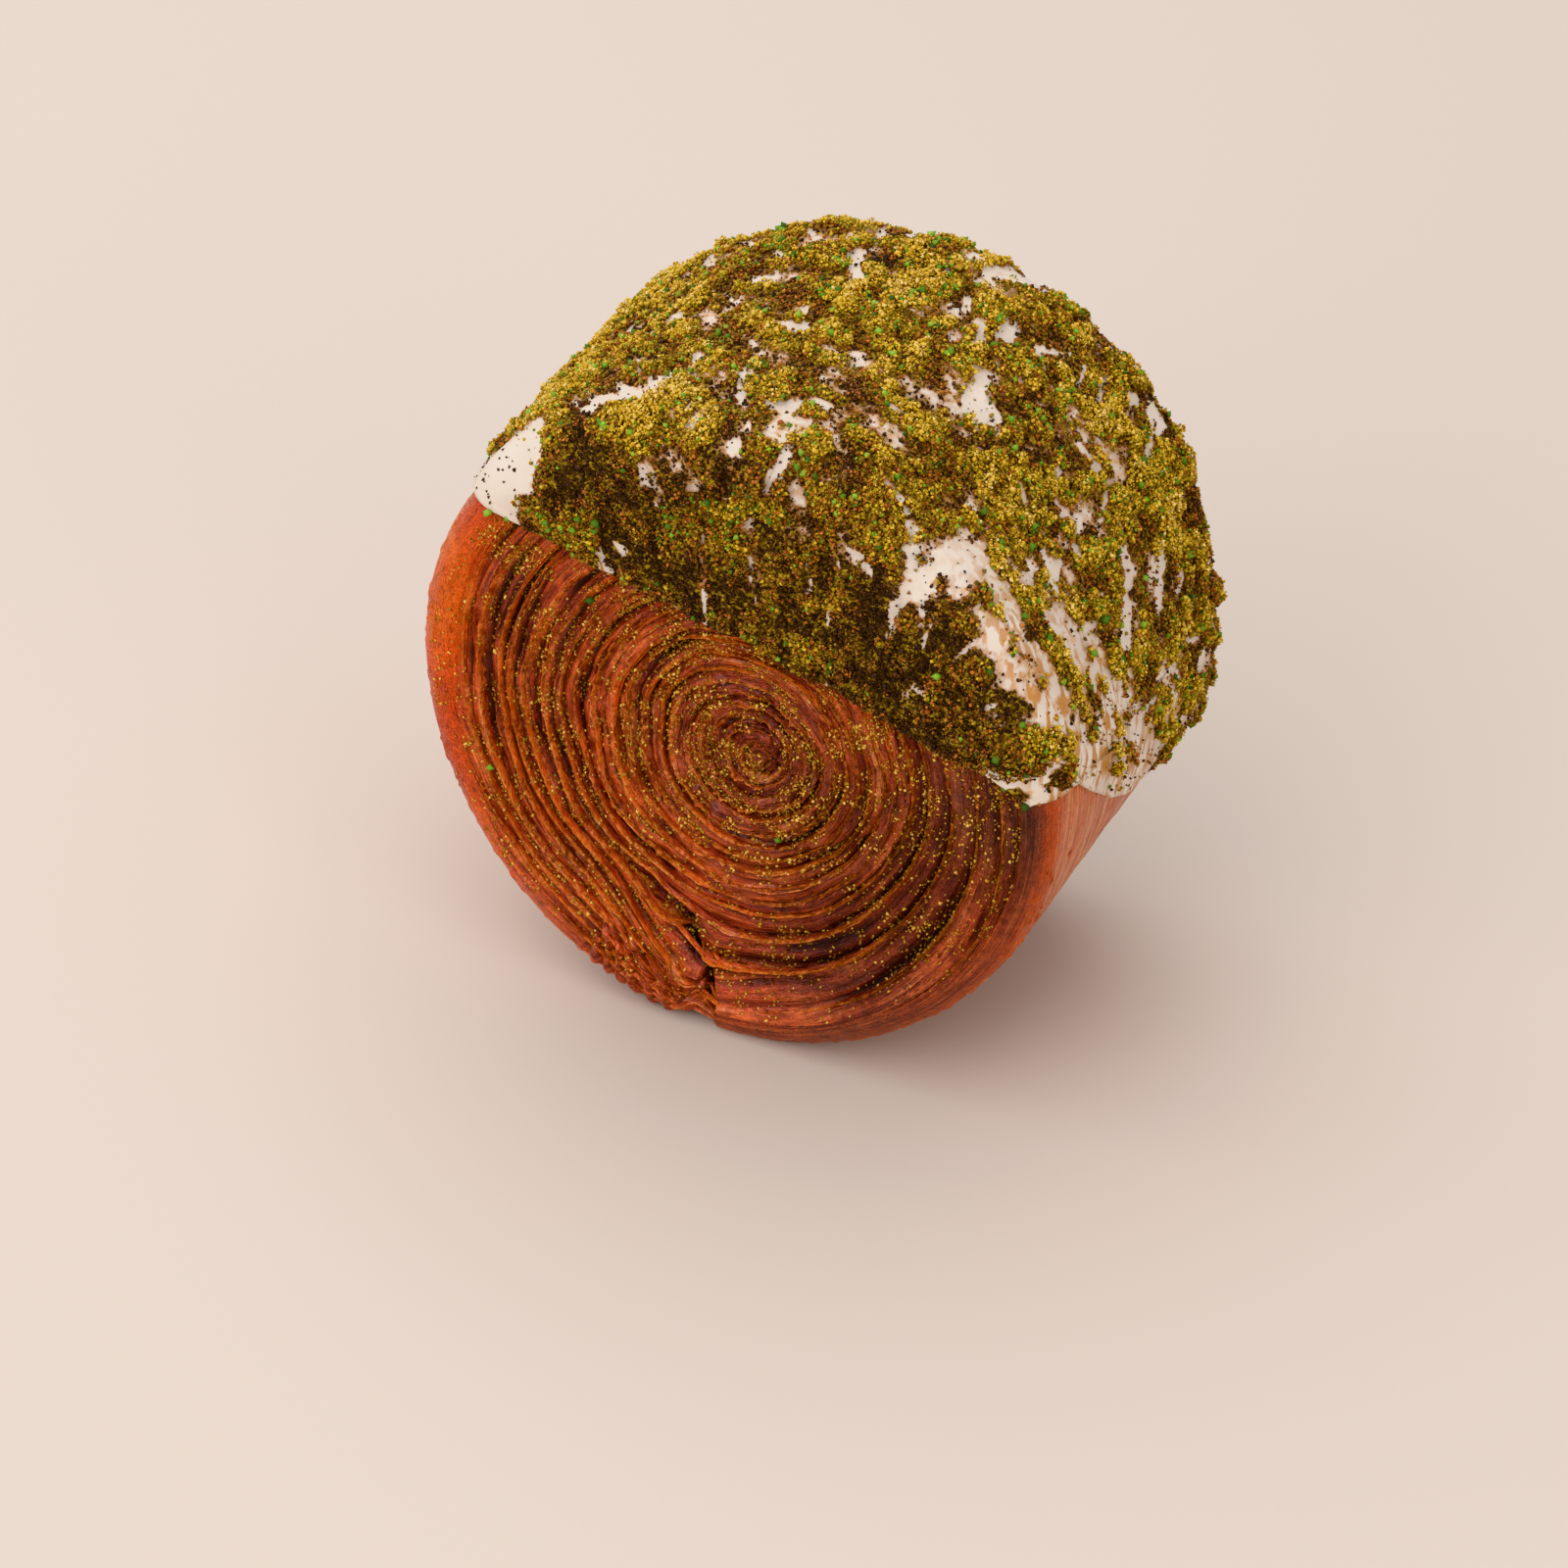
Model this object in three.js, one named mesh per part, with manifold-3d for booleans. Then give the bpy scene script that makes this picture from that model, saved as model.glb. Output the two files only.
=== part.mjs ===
// A round croissant: a strip of laminated dough rolled up and baked in a ring, stood on its
// round edge. Its upper half is dipped in white icing and covered with ground pistachio.
// Millimetres, +Z up. The roll's axis lies along Y and its open spiral faces look to -Y and +Y.
// The origin is under the middle of the whole part, on the surface that it stands on.
import * as THREE from 'three';
import { mergeVertices } from 'three/addons/utils/BufferGeometryUtils.js';
import Module from 'manifold-3d';

const wasm = await Module();
wasm.setup();

// The roll
const ROLL_RADIUS = 49.3; // as baked in a ring about 100 mm across
const ROLL_THICKNESS = 60; // from one spiral face to the other
const RIM_ROUNDING = 5; // radius of the edge between a face and the wall
const SEAM_ANGLE = THREE.MathUtils.degToRad(-92); // where the strip's outer end lies
const SEAM_BULGE = 1.7; // the roll swells beside its seam
const SEAM_BULGE_ANGLE = THREE.MathUtils.degToRad(-86);
const SEAM_BULGE_SPREAD = THREE.MathUtils.degToRad(25);
const PRESSED_ANGLE = THREE.MathUtils.degToRad(-162); // the lower left was pressed flatter
const PRESSED_DEPTH = 1.9;
const PRESSED_SPREAD = THREE.MathUtils.degToRad(27);
const SWELL_ANGLE = THREE.MathUtils.degToRad(68); // the top swells towards the back
const SWELL_HEIGHT = 3;
const SWELL_SPREAD = THREE.MathUtils.degToRad(62);
const SWELL_START = -20;
const SWELL_END = 25;
const REST_DEPTH = 49.8; // from the roll's axis down to the flat it stands on

// The spiral of layers on each face
const SPIRAL_CENTRE = new THREE.Vector2(6, 0.1);
const SPIRAL_TURNS = 9;
const SPIRAL_SEGMENTS = 60;
const CREST_UNEVENNESS = 0.35; // how far a layer's crest may lie under the face
const GROOVE_DEPTH = 1.7;
const GROOVE_UNEVENNESS = 0.6;
const FACE_BUMP_SIZE = 6;
const WALL_STATIONS = 5;
const WALL_UNEVENNESS = 0.35;
const WALL_BUMP_SIZE = 10;
const RIM_STATIONS = 3;

// The seam: a notch across the wall, and a slit on each face with pleats beside it
const NOTCH_LEFT_WIDTH = 4.6;
const NOTCH_RIGHT_WIDTH = 2.8;
const NOTCH_DEPTH = 3.6;
const NOTCH_OVERSHOOT = 2;
const SLIT_PATH = [[-1.6, -50.5], [-7, -36], [-16.5, -25.5]];
const SLIT_WIDTH = 1.9;
const SLIT_DEPTH = 2.6;
const PLEAT_COUNT = 4;
const PLEAT_SPACING = 2.8;
const PLEAT_LENGTH = 11;
const PLEAT_WIDTH = 0.8;
const PLEAT_DEPTH = 1.3;
const PLEAT_RISE = 0.16; // the pleats start on the outline, which rises with their distance squared
const PLEAT_LEAN = 7;
const CUT_STEPS = 5;

// The icing: a coat over the upper half, with a wavy lower edge
const COAT_GAP = 0.3;
const COAT_THICKNESS = 1.7;
const COAT_EDGE_THICKNESS = 0.9;
const COAT_EDGE_WIDTH = 5;
const CLUMP_HEIGHT = 1.5; // the uneven crust of crumbs, as relief
const CLUMP_SIZE = 4.2;
const COAT_SEGMENTS = 64;
const COAT_FACE_STATIONS = 7;
const COAT_WALL_STATIONS = 9;
const INSIDE_FACE_STATIONS = 3;
const DIP_HEIGHT = 20.3; // height of the icing's edge over the axis, midway on the front face
const DIP_SLOPE_X = -0.265; // it falls to the right
const DIP_SLOPE_Y = -0.43; // and towards the back
const DIP_WAVE = 0.9;
const DIP_WAVE_SIZE = 7;
const DIP_COLUMNS = 32;
const DIP_ROWS = 16;
const DIP_MARGIN = 10;

// Where the edge hangs lower, or is drawn up: across, depth, how far down, how wide
const SCALLOPS = [
  [-40, -30, 1.7, 5], [-20, -30, 1.2, 2.5], [-13, -30, 1, 2.5], [4, -30, -0.9, 3], [10, -30, 0.8, 2.5],
  [32, -30, 1.2, 3], [49, -29, 2.6, 3], [49, -22, -2.2, 3], [49, 2, 5, 11], [-49, 6, 3, 6],
  [-36, 30, 2, 6], [-12, 30, 3, 5], [10, 30, -2, 8], [30, 30, 2.5, 6],
];

// The largest crumbs, fused to the coat
const CRUMB_COUNT = 112;
const CRUMB_RADIUS_MAX = 1.9;
const CRUMB_RADIUS_MIN = 1.1;
const CRUMB_SINK = 0.35; // the part of its radius that a crumb sits in the coat
const CRUMB_FLATNESS = 0.85;
const CRUMB_EDGE_MARGIN = 2.5;
const SPREAD_STEPS = [0.7548776662, 0.5698402910]; // even spread over an area without a pattern

const FACE_REACH = ROLL_RADIUS - RIM_ROUNDING;
const RIM_ARC = RIM_ROUNDING * Math.PI / 2;
const WALL_REACH = ROLL_THICKNESS - 2 * RIM_ROUNDING;
const PROFILE_LENGTH = 2 * FACE_REACH + 2 * RIM_ARC + WALL_REACH;

// A repeatable value from 0 to 1 for a point of a lattice.
function latticeValue(i, j, k) {
  const mixed = Math.sin(i * 127.1 + j * 311.7 + k * 74.7) * 43758.5453;
  return mixed - Math.floor(mixed);
}

// Smooth noise from 0 to 1 through space, with bumps of the given size.
function roughness(point, size, seed) {
  const [x, y, z] = point.toArray().map((value) => value / size + seed);
  const [i, j, k] = [Math.floor(x), Math.floor(y), Math.floor(z)];
  const ease = (t) => t * t * (3 - 2 * t);
  const [a, b, c] = [ease(x - i), ease(y - j), ease(z - k)];
  const along = (dj, dk) => THREE.MathUtils.lerp(
    latticeValue(i, j + dj, k + dk), latticeValue(i + 1, j + dj, k + dk), a);
  const across = (dk) => THREE.MathUtils.lerp(along(0, dk), along(1, dk), b);
  return THREE.MathUtils.lerp(across(0), across(1), c);
}

// The shortest way round from one angle to another.
function angleBetween(angle, centre) {
  return Math.atan2(Math.sin(angle - centre), Math.cos(angle - centre));
}

function hump(distance, spread) {
  return Math.exp(-0.5 * (distance / spread) ** 2);
}

// The roll's outline is a circle, fuller at the seam and flatter where it was pressed. y is how
// far along the axis it lies, because its top swells towards the back.
function outlineRadius(angle, y) {
  const beside = SWELL_SPREAD - Math.abs(angleBetween(angle, SWELL_ANGLE));
  const swell = THREE.MathUtils.smoothstep(beside, 0, SWELL_SPREAD)
    * THREE.MathUtils.smoothstep(y, SWELL_START, SWELL_END);
  return ROLL_RADIUS + SWELL_HEIGHT * swell
    + SEAM_BULGE * hump(angleBetween(angle, SEAM_BULGE_ANGLE), SEAM_BULGE_SPREAD)
    - PRESSED_DEPTH * hump(angleBetween(angle, PRESSED_ANGLE), PRESSED_SPREAD);
}

// A point of the smooth roll. reach runs over the section: out along the front face, round the
// rim, along the wall, and in over the back face. offset moves the point outwards.
function rollPoint(angle, reach, offset) {
  const back = reach > PROFILE_LENGTH / 2;
  const along = back ? PROFILE_LENGTH - reach : reach;
  const bend = THREE.MathUtils.clamp((along - FACE_REACH) / RIM_ROUNDING, 0, Math.PI / 2);
  const straight = Math.max(0, along - FACE_REACH - RIM_ARC);
  const out = Math.min(along, FACE_REACH) + RIM_ROUNDING * Math.sin(bend);
  const inset = RIM_ROUNDING * (1 - Math.cos(bend)) + straight;
  const side = back ? 1 : -1;
  const y = side * (ROLL_THICKNESS / 2 - inset);
  const radius = out * outlineRadius(angle, y) / ROLL_RADIUS + offset * Math.sin(bend);
  return new THREE.Vector3(radius * Math.cos(angle), y + side * offset * Math.cos(bend), radius * Math.sin(angle));
}

function geometryFrom(points, triangles) {
  const geometry = new THREE.BufferGeometry().setFromPoints(points);
  geometry.setIndex(triangles.flat());
  return geometry;
}

function solidFrom(geometry) {
  const bare = geometry.clone();
  bare.deleteAttribute('normal');
  bare.deleteAttribute('uv');
  const merged = mergeVertices(bare, 1e-4);
  return new wasm.Manifold(new wasm.Mesh({
    numProp: 3,
    vertProperties: Float32Array.from(merged.attributes.position.array),
    triVerts: Uint32Array.from(merged.index.array),
  }));
}

function meshFrom(solid, name, material) {
  const { vertProperties, triVerts } = solid.getMesh();
  const geometry = new THREE.BufferGeometry();
  geometry.setAttribute('position', new THREE.BufferAttribute(vertProperties, 3));
  geometry.setIndex(new THREE.BufferAttribute(triVerts, 1));
  geometry.computeVertexNormals();
  const mesh = new THREE.Mesh(geometry, material);
  mesh.name = name;
  return mesh;
}

// The points of one spiral face. Ring 2k is the crest of a layer and ring 2k + 1 the groove
// outside it. In one turn each ring moves out by one layer, so its end is the start of the
// ring two further out.
function spiralFacePoints(side) {
  const points = [];
  const rings = 2 * SPIRAL_TURNS - 1;
  for (let ring = 0; ring < rings; ring++) {
    for (let step = 0; step < SPIRAL_SEGMENTS; step++) {
      const turn = step / SPIRAL_SEGMENTS;
      const angle = SEAM_ANGLE + turn * 2 * Math.PI;
      const share = (ring / 2 + turn) / SPIRAL_TURNS;
      const rim = rollPoint(angle, side < 0 ? FACE_REACH : PROFILE_LENGTH - FACE_REACH, 0);
      const x = THREE.MathUtils.lerp(SPIRAL_CENTRE.x, rim.x, share);
      const z = THREE.MathUtils.lerp(SPIRAL_CENTRE.y, rim.z, share);
      const spot = new THREE.Vector3(x, side * ROLL_THICKNESS / 2, z);
      const rough = roughness(spot, FACE_BUMP_SIZE, 40);
      const crest = CREST_UNEVENNESS * rough;
      const groove = GROOVE_DEPTH - GROOVE_UNEVENNESS * rough;
      spot.y -= side * (ring % 2 === 0 ? crest : groove);
      points.push(spot);
    }
  }
  return points;
}

// The triangles of one spiral face, between its own points and the loop of rim points.
function spiralFaceTriangles(first, rimFirst) {
  const lastRing = 2 * SPIRAL_TURNS - 2;
  const at = (ring, step) => {
    if (step < SPIRAL_SEGMENTS) return first + ring * SPIRAL_SEGMENTS + step;
    return ring + 2 <= lastRing ? first + (ring + 2) * SPIRAL_SEGMENTS : rimFirst;
  };
  const rimAt = (step) => rimFirst + step % SPIRAL_SEGMENTS;
  const triangles = [];
  for (let ring = 0; ring < lastRing; ring++) {
    for (let step = 0; step < SPIRAL_SEGMENTS; step++) {
      triangles.push([at(ring, step), at(ring + 1, step), at(ring + 1, step + 1)]);
      triangles.push([at(ring, step), at(ring + 1, step + 1), at(ring, step + 1)]);
    }
  }
  const centre = at(0, 0);
  for (let step = 1; step < SPIRAL_SEGMENTS; step++) {
    triangles.push([centre, at(0, step), at(0, step + 1)]);
  }
  triangles.push([centre, at(2, 0), at(1, 0)]);
  for (let step = 0; step < SPIRAL_SEGMENTS - 1; step++) {
    triangles.push([at(lastRing, step), rimAt(step), rimAt(step + 1)]);
    triangles.push([at(lastRing, step), rimAt(step + 1), at(lastRing, step + 1)]);
  }
  triangles.push([at(lastRing, SPIRAL_SEGMENTS - 1), rimAt(SPIRAL_SEGMENTS - 1), rimAt(0)]);
  triangles.push([at(lastRing, 0), at(lastRing - 1, SPIRAL_SEGMENTS), rimAt(0)]);
  return triangles;
}

// Where the loops of points round the rims and along the wall lie on the section.
function wallReaches(stations) {
  const rim = Array.from({ length: RIM_STATIONS }, (unused, station) => FACE_REACH
    + RIM_ARC * station / RIM_STATIONS);
  const wall = Array.from({ length: stations + 1 }, (unused, station) => FACE_REACH
    + RIM_ARC + WALL_REACH * station / stations);
  return [...rim, ...wall, ...rim.map((reach) => PROFILE_LENGTH - reach).reverse()];
}

function rollSolid() {
  const front = spiralFacePoints(-1);
  const back = spiralFacePoints(1);
  const reaches = wallReaches(WALL_STATIONS);
  const wall = reaches.flatMap((reach) => Array.from({ length: SPIRAL_SEGMENTS }, (unused, step) => {
    const angle = SEAM_ANGLE + step / SPIRAL_SEGMENTS * 2 * Math.PI;
    const dent = roughness(rollPoint(angle, reach, 0), WALL_BUMP_SIZE, 20);
    return rollPoint(angle, reach, -WALL_UNEVENNESS * dent);
  }));
  const wallFirst = front.length + back.length;
  const lastLoop = wallFirst + (reaches.length - 1) * SPIRAL_SEGMENTS;
  const triangles = spiralFaceTriangles(0, wallFirst);
  const backFace = spiralFaceTriangles(front.length, lastLoop);
  triangles.push(...backFace.map(([a, b, c]) => [a, c, b]));
  for (let loop = 0; loop < reaches.length - 1; loop++) {
    for (let step = 0; step < SPIRAL_SEGMENTS; step++) {
      const a = wallFirst + loop * SPIRAL_SEGMENTS + step;
      const b = wallFirst + loop * SPIRAL_SEGMENTS + (step + 1) % SPIRAL_SEGMENTS;
      triangles.push([a, a + SPIRAL_SEGMENTS, b + SPIRAL_SEGMENTS], [a, b + SPIRAL_SEGMENTS, b]);
    }
  }
  return solidFrom(geometryFrom([...front, ...back, ...wall], triangles));
}

// A narrow cut that follows a curve on a face and thins out to its inner end.
function curvedCut(path, width, depth, side) {
  const curve = new THREE.QuadraticBezierCurve(...path.map(([x, z]) => new THREE.Vector2(x, z)));
  const edge = (way) => Array.from({ length: CUT_STEPS }, (unused, step) => {
    const t = step / CUT_STEPS;
    const along = curve.getTangent(t);
    const across = new THREE.Vector2(-along.y, along.x);
    return curve.getPoint(t).addScaledVector(across, way * width * (1 - t) / 2);
  });
  const shape = new THREE.Shape([...edge(1), curve.getPoint(1), ...edge(-1).reverse()]);
  const cut = new THREE.ExtrudeGeometry(shape, { depth: 2 * depth, bevelEnabled: false, steps: 1 });
  cut.rotateX(Math.PI / 2);
  cut.translate(0, side * ROLL_THICKNESS / 2 + depth, 0);
  return solidFrom(cut);
}

// The slit under the strip's end and the page-like pleats beside it.
function seamCuts(side) {
  const cuts = [curvedCut(SLIT_PATH, SLIT_WIDTH, SLIT_DEPTH, side)];
  const [[startX, startZ]] = SLIT_PATH;
  for (let pleat = 1; pleat <= PLEAT_COUNT; pleat++) {
    const x = startX - pleat * PLEAT_SPACING;
    const z = startZ + pleat * pleat * PLEAT_RISE;
    const path = [[x, z], [x - PLEAT_LEAN / 3, z + PLEAT_LENGTH / 2], [x - PLEAT_LEAN, z + PLEAT_LENGTH]];
    cuts.push(curvedCut(path, PLEAT_WIDTH, PLEAT_DEPTH, side));
  }
  return cuts;
}

// The notch that the strip's end leaves across the wall.
function notchCut() {
  const out = new THREE.Vector2(Math.cos(SEAM_ANGLE), Math.sin(SEAM_ANGLE));
  const across = new THREE.Vector2(-out.y, out.x);
  const outside = out.clone().multiplyScalar(outlineRadius(SEAM_ANGLE, 0) + NOTCH_OVERSHOOT);
  const shape = new THREE.Shape([
    out.clone().multiplyScalar(outlineRadius(SEAM_ANGLE, 0) - NOTCH_DEPTH),
    outside.clone().addScaledVector(across, -NOTCH_LEFT_WIDTH),
    outside.clone().addScaledVector(across, NOTCH_RIGHT_WIDTH),
  ]);
  const length = ROLL_THICKNESS + 2 * NOTCH_OVERSHOOT;
  const cut = new THREE.ExtrudeGeometry(shape, { depth: length, bevelEnabled: false, steps: 1 });
  cut.rotateX(Math.PI / 2);
  cut.translate(0, length / 2, 0);
  return solidFrom(cut);
}

// Everything under the flat that the roll stands on.
function underFlat() {
  const block = new THREE.BoxGeometry(3 * ROLL_RADIUS, 2 * ROLL_THICKNESS, ROLL_RADIUS);
  block.translate(0, 0, -REST_DEPTH - ROLL_RADIUS / 2);
  return solidFrom(block);
}

function pastrySolid() {
  let solid = rollSolid().subtract(notchCut());
  for (const cut of [...seamCuts(-1), ...seamCuts(1)]) solid = solid.subtract(cut);
  return solid.subtract(underFlat());
}

// The height of the icing's lower edge over a place in plan.
function dipHeight(x, y) {
  const fall = DIP_SLOPE_X * x + DIP_SLOPE_Y * (y + ROLL_THICKNESS / 2);
  const wave = 2 * roughness(new THREE.Vector3(x, y, 0), DIP_WAVE_SIZE, 60) - 1;
  const hang = SCALLOPS.reduce((sum, [overX, overY, drop, width]) => sum
    + drop * hump(Math.hypot(x - overX, y - overY), width), 0);
  return DIP_HEIGHT + fall + DIP_WAVE * wave - hang;
}

// How much of the full coat there is at a place: it thins out to its edge.
function coatShare(point) {
  return THREE.MathUtils.smoothstep(point.z - dipHeight(point.x, point.y), 0, COAT_EDGE_WIDTH);
}

// The height of the icing and its crust of crumbs over the roll.
function coatHeight(point) {
  const share = coatShare(point);
  const crust = COAT_THICKNESS + CLUMP_HEIGHT * roughness(point, CLUMP_SIZE, 80);
  return COAT_GAP + THREE.MathUtils.lerp(COAT_EDGE_THICKNESS, crust, share);
}

// A closed body round the whole roll, at a height over it that may vary.
function bodyRound(height, segments, faceStations, wallStations) {
  const face = Array.from({ length: faceStations - 1 }, (unused, station) => FACE_REACH
    * (station + 1) / faceStations);
  const backFace = face.map((reach) => PROFILE_LENGTH - reach).reverse();
  const reaches = [...face, ...wallReaches(wallStations), ...backFace];
  const place = (angle, reach) => rollPoint(angle, reach, height(rollPoint(angle, reach, 0)));
  const points = [place(0, 0), place(0, PROFILE_LENGTH)];
  for (const reach of reaches) {
    for (let step = 0; step < segments; step++) points.push(place(step / segments * 2 * Math.PI, reach));
  }
  const at = (loop, step) => 2 + loop * segments + step % segments;
  const last = reaches.length - 1;
  const triangles = [];
  for (let step = 0; step < segments; step++) {
    triangles.push([0, at(0, step), at(0, step + 1)], [1, at(last, step + 1), at(last, step)]);
    for (let loop = 0; loop < last; loop++) {
      triangles.push([at(loop, step), at(loop + 1, step), at(loop + 1, step + 1)]);
      triangles.push([at(loop, step), at(loop + 1, step + 1), at(loop, step + 1)]);
    }
  }
  return solidFrom(geometryFrom(points, triangles));
}

// Everything over the dipping line: a box whose underside follows the icing's edge.
function dippedSpace() {
  const width = 2 * (ROLL_RADIUS + DIP_MARGIN);
  const length = ROLL_THICKNESS + 2 * DIP_MARGIN;
  const height = 4 * ROLL_RADIUS;
  const box = new THREE.BoxGeometry(width, length, height, DIP_COLUMNS, DIP_ROWS, 1);
  const position = box.attributes.position;
  for (let corner = 0; corner < position.count; corner++) {
    if (position.getZ(corner) > 0) continue;
    position.setZ(corner, dipHeight(position.getX(corner), position.getY(corner)));
  }
  return solidFrom(box);
}

// A many-sided broken piece of nut, no two alike.
function crumbSolid(place, radius, seed) {
  const ball = new THREE.IcosahedronGeometry(radius, 0);
  ball.deleteAttribute('normal');
  ball.deleteAttribute('uv');
  const crumb = mergeVertices(ball);
  const position = crumb.attributes.position;
  for (let corner = 0; corner < position.count; corner++) {
    const stretch = THREE.MathUtils.lerp(0.8, 1.2, latticeValue(seed, corner, 5));
    const spot = new THREE.Vector3().fromBufferAttribute(position, corner).multiplyScalar(stretch);
    position.setXYZ(corner, spot.x, spot.y * CRUMB_FLATNESS, spot.z);
  }
  crumb.rotateX(latticeValue(seed, 1, 6) * Math.PI);
  crumb.rotateZ(latticeValue(seed, 2, 7) * Math.PI);
  crumb.translate(place.x, place.y, place.z);
  return solidFrom(crumb);
}

// Crumbs are spread evenly over the coat, the largest first, well inside its edge.
function crumbSolids() {
  const crumbs = [];
  for (let draw = 1; crumbs.length < CRUMB_COUNT; draw++) {
    const [angleShare, reachShare] = SPREAD_STEPS.map((step) => draw * step % 1);
    const angle = angleShare * 2 * Math.PI;
    const reach = reachShare * PROFILE_LENGTH;
    const under = rollPoint(angle, reach, 0);
    // Equal steps of angle crowd near the axis, so more of the draws there are passed over.
    const crowded = latticeValue(draw, 3, 9) > Math.hypot(under.x, under.z) / ROLL_RADIUS;
    if (crowded || under.z < dipHeight(under.x, under.y) + CRUMB_EDGE_MARGIN) continue;
    const radius = THREE.MathUtils.lerp(CRUMB_RADIUS_MAX, CRUMB_RADIUS_MIN, crumbs.length / CRUMB_COUNT);
    const place = rollPoint(angle, reach, coatHeight(under) - CRUMB_SINK * radius);
    crumbs.push(crumbSolid(place, radius, draw));
  }
  return crumbs;
}

// The coat with its crumbs, hollowed to fit over the roll and ended at the dipping line.
function icingSolid() {
  let crusted = bodyRound(coatHeight, COAT_SEGMENTS, COAT_FACE_STATIONS, COAT_WALL_STATIONS);
  for (const crumb of crumbSolids()) crusted = crusted.add(crumb);
  const inside = bodyRound(() => COAT_GAP, SPIRAL_SEGMENTS, INSIDE_FACE_STATIONS, WALL_STATIONS);
  return crusted.subtract(inside).intersect(dippedSpace());
}

const bakedDough = new THREE.MeshStandardMaterial({ color: 0xa8501f, roughness: 0.55, metalness: 0 });
const icedCrumbs = new THREE.MeshStandardMaterial({ color: 0x9c9150, roughness: 0.85, metalness: 0 });

const croissant = new THREE.Group();
croissant.add(meshFrom(pastrySolid(), 'pastry', bakedDough));
croissant.add(meshFrom(icingSolid(), 'icing', icedCrumbs));

const extent = new THREE.Box3().setFromObject(croissant);
const middle = extent.getCenter(new THREE.Vector3());
croissant.position.set(-middle.x, -middle.y, -extent.min.z);

export default croissant;
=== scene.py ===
import math

import bmesh
import bpy
import numpy as np
from mathutils import Matrix, Vector


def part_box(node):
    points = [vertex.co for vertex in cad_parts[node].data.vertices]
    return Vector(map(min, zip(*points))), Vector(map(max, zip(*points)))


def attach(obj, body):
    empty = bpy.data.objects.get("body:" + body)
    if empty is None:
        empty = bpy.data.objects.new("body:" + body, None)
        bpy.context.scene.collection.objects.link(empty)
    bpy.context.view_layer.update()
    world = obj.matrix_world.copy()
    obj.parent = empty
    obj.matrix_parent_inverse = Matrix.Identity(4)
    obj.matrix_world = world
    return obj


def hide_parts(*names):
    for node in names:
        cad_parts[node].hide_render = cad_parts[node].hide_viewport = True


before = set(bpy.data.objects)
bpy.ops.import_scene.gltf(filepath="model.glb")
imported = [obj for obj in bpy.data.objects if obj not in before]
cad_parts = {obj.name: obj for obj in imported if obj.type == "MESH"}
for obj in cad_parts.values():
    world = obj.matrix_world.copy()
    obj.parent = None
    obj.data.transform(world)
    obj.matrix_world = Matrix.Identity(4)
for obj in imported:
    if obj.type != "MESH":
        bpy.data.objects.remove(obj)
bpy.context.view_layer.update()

# ---- The rolled dough ----
# A strip of butter-laminated dough, rolled up and baked in a ring. Its two open sides fray into
# a spiral of thin crisp layers, and the rim and the wall that touched the ring bake smooth.
# Sizes are in millimetres from the middle of the roll's axis.
ROLL_RADIUS = 49.3
ROLL_THICKNESS = 60
RIM_ROUNDING = 5
REST_DEPTH = 49.8
SEAM_ANGLE = math.radians(-92)
SEAM_BULGE = 1.7
SEAM_BULGE_ANGLE = math.radians(-86)
SEAM_BULGE_SPREAD = math.radians(25)
PRESSED_ANGLE = math.radians(-162)
PRESSED_DEPTH = 1.9
PRESSED_SPREAD = math.radians(27)
SWELL_ANGLE = math.radians(68)
SWELL_HEIGHT = 3
SWELL_SPREAD = math.radians(62)
SWELL_START = -20
SWELL_END = 25
NOTCH_LEFT_WIDTH = 4.6
NOTCH_RIGHT_WIDTH = 2.8
NOTCH_DEPTH = 3.6

FACE_REACH = ROLL_RADIUS - RIM_ROUNDING
RIM_ARC = RIM_ROUNDING * math.pi / 2
WALL_REACH = ROLL_THICKNESS - 2 * RIM_ROUNDING
RIM_SHARE = 1 + RIM_ARC / FACE_REACH  # a share of 1 ends a spiral face, and this one ends the rim

SPIRAL_CENTRE = (6.0, 0.1)
TURNS = 24
COLUMNS = 560  # round an outer turn, with a half or a quarter of them round the inner ones
HALVED_BEFORE = {-1: (4, 10), 1: (6, 22)}  # on each side, the turns where they first double
INNER_TURNS = 13  # evenly wound, and the outer ones are bands that grow in number round the turn
OUTER_BANDS = 3
BANDS_ADDED = 6.5
BAND_GROWTH = 0.35
INNER_STEP = 0.036
INNER_STEP_GROWTH = 0.0007
SPREAD_START = 0.9  # from here round to the seam the outer layers fan out over the rim
SLIT_TURN = 15

low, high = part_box("pastry")
ROLL_AXIS = np.array([high.x * 1000 - ROLL_RADIUS, (low.y + high.y) * 500, REST_DEPTH])


def lattice(i, j, k):
    """A repeatable value from 0 to 1 for each point of a lattice."""
    mixed = np.sin(i * 127.1 + j * 311.7 + k * 74.7) * 43758.5453
    return mixed - np.floor(mixed)


def roughness(points, size, seed):
    """Smooth noise from 0 to 1 at each point, with bumps of the given size."""
    x, y, z = np.moveaxis(np.asarray(points, float) / size + seed, -1, 0)
    i, j, k = np.floor(x), np.floor(y), np.floor(z)
    a, b, c = (t * t * (3 - 2 * t) for t in (x - i, y - j, z - k))
    total = 0
    for di, wa in ((0, 1 - a), (1, a)):
        for dj, wb in ((0, 1 - b), (1, b)):
            for dk, wc in ((0, 1 - c), (1, c)):
                total = total + wa * wb * wc * lattice(i + di, j + dj, k + dk)
    return total


def noise(x, y=0.0, seed=0.0):
    """Smooth noise from -1 to 1 over two plain numbers."""
    x, y = np.broadcast_arrays(np.asarray(x, float), np.asarray(y, float))
    return 2 * roughness(np.stack([x, y, np.zeros_like(x)], -1), 1, seed) - 1


def hump(distance, spread):
    return np.exp(-0.5 * (distance / spread) ** 2)


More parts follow.
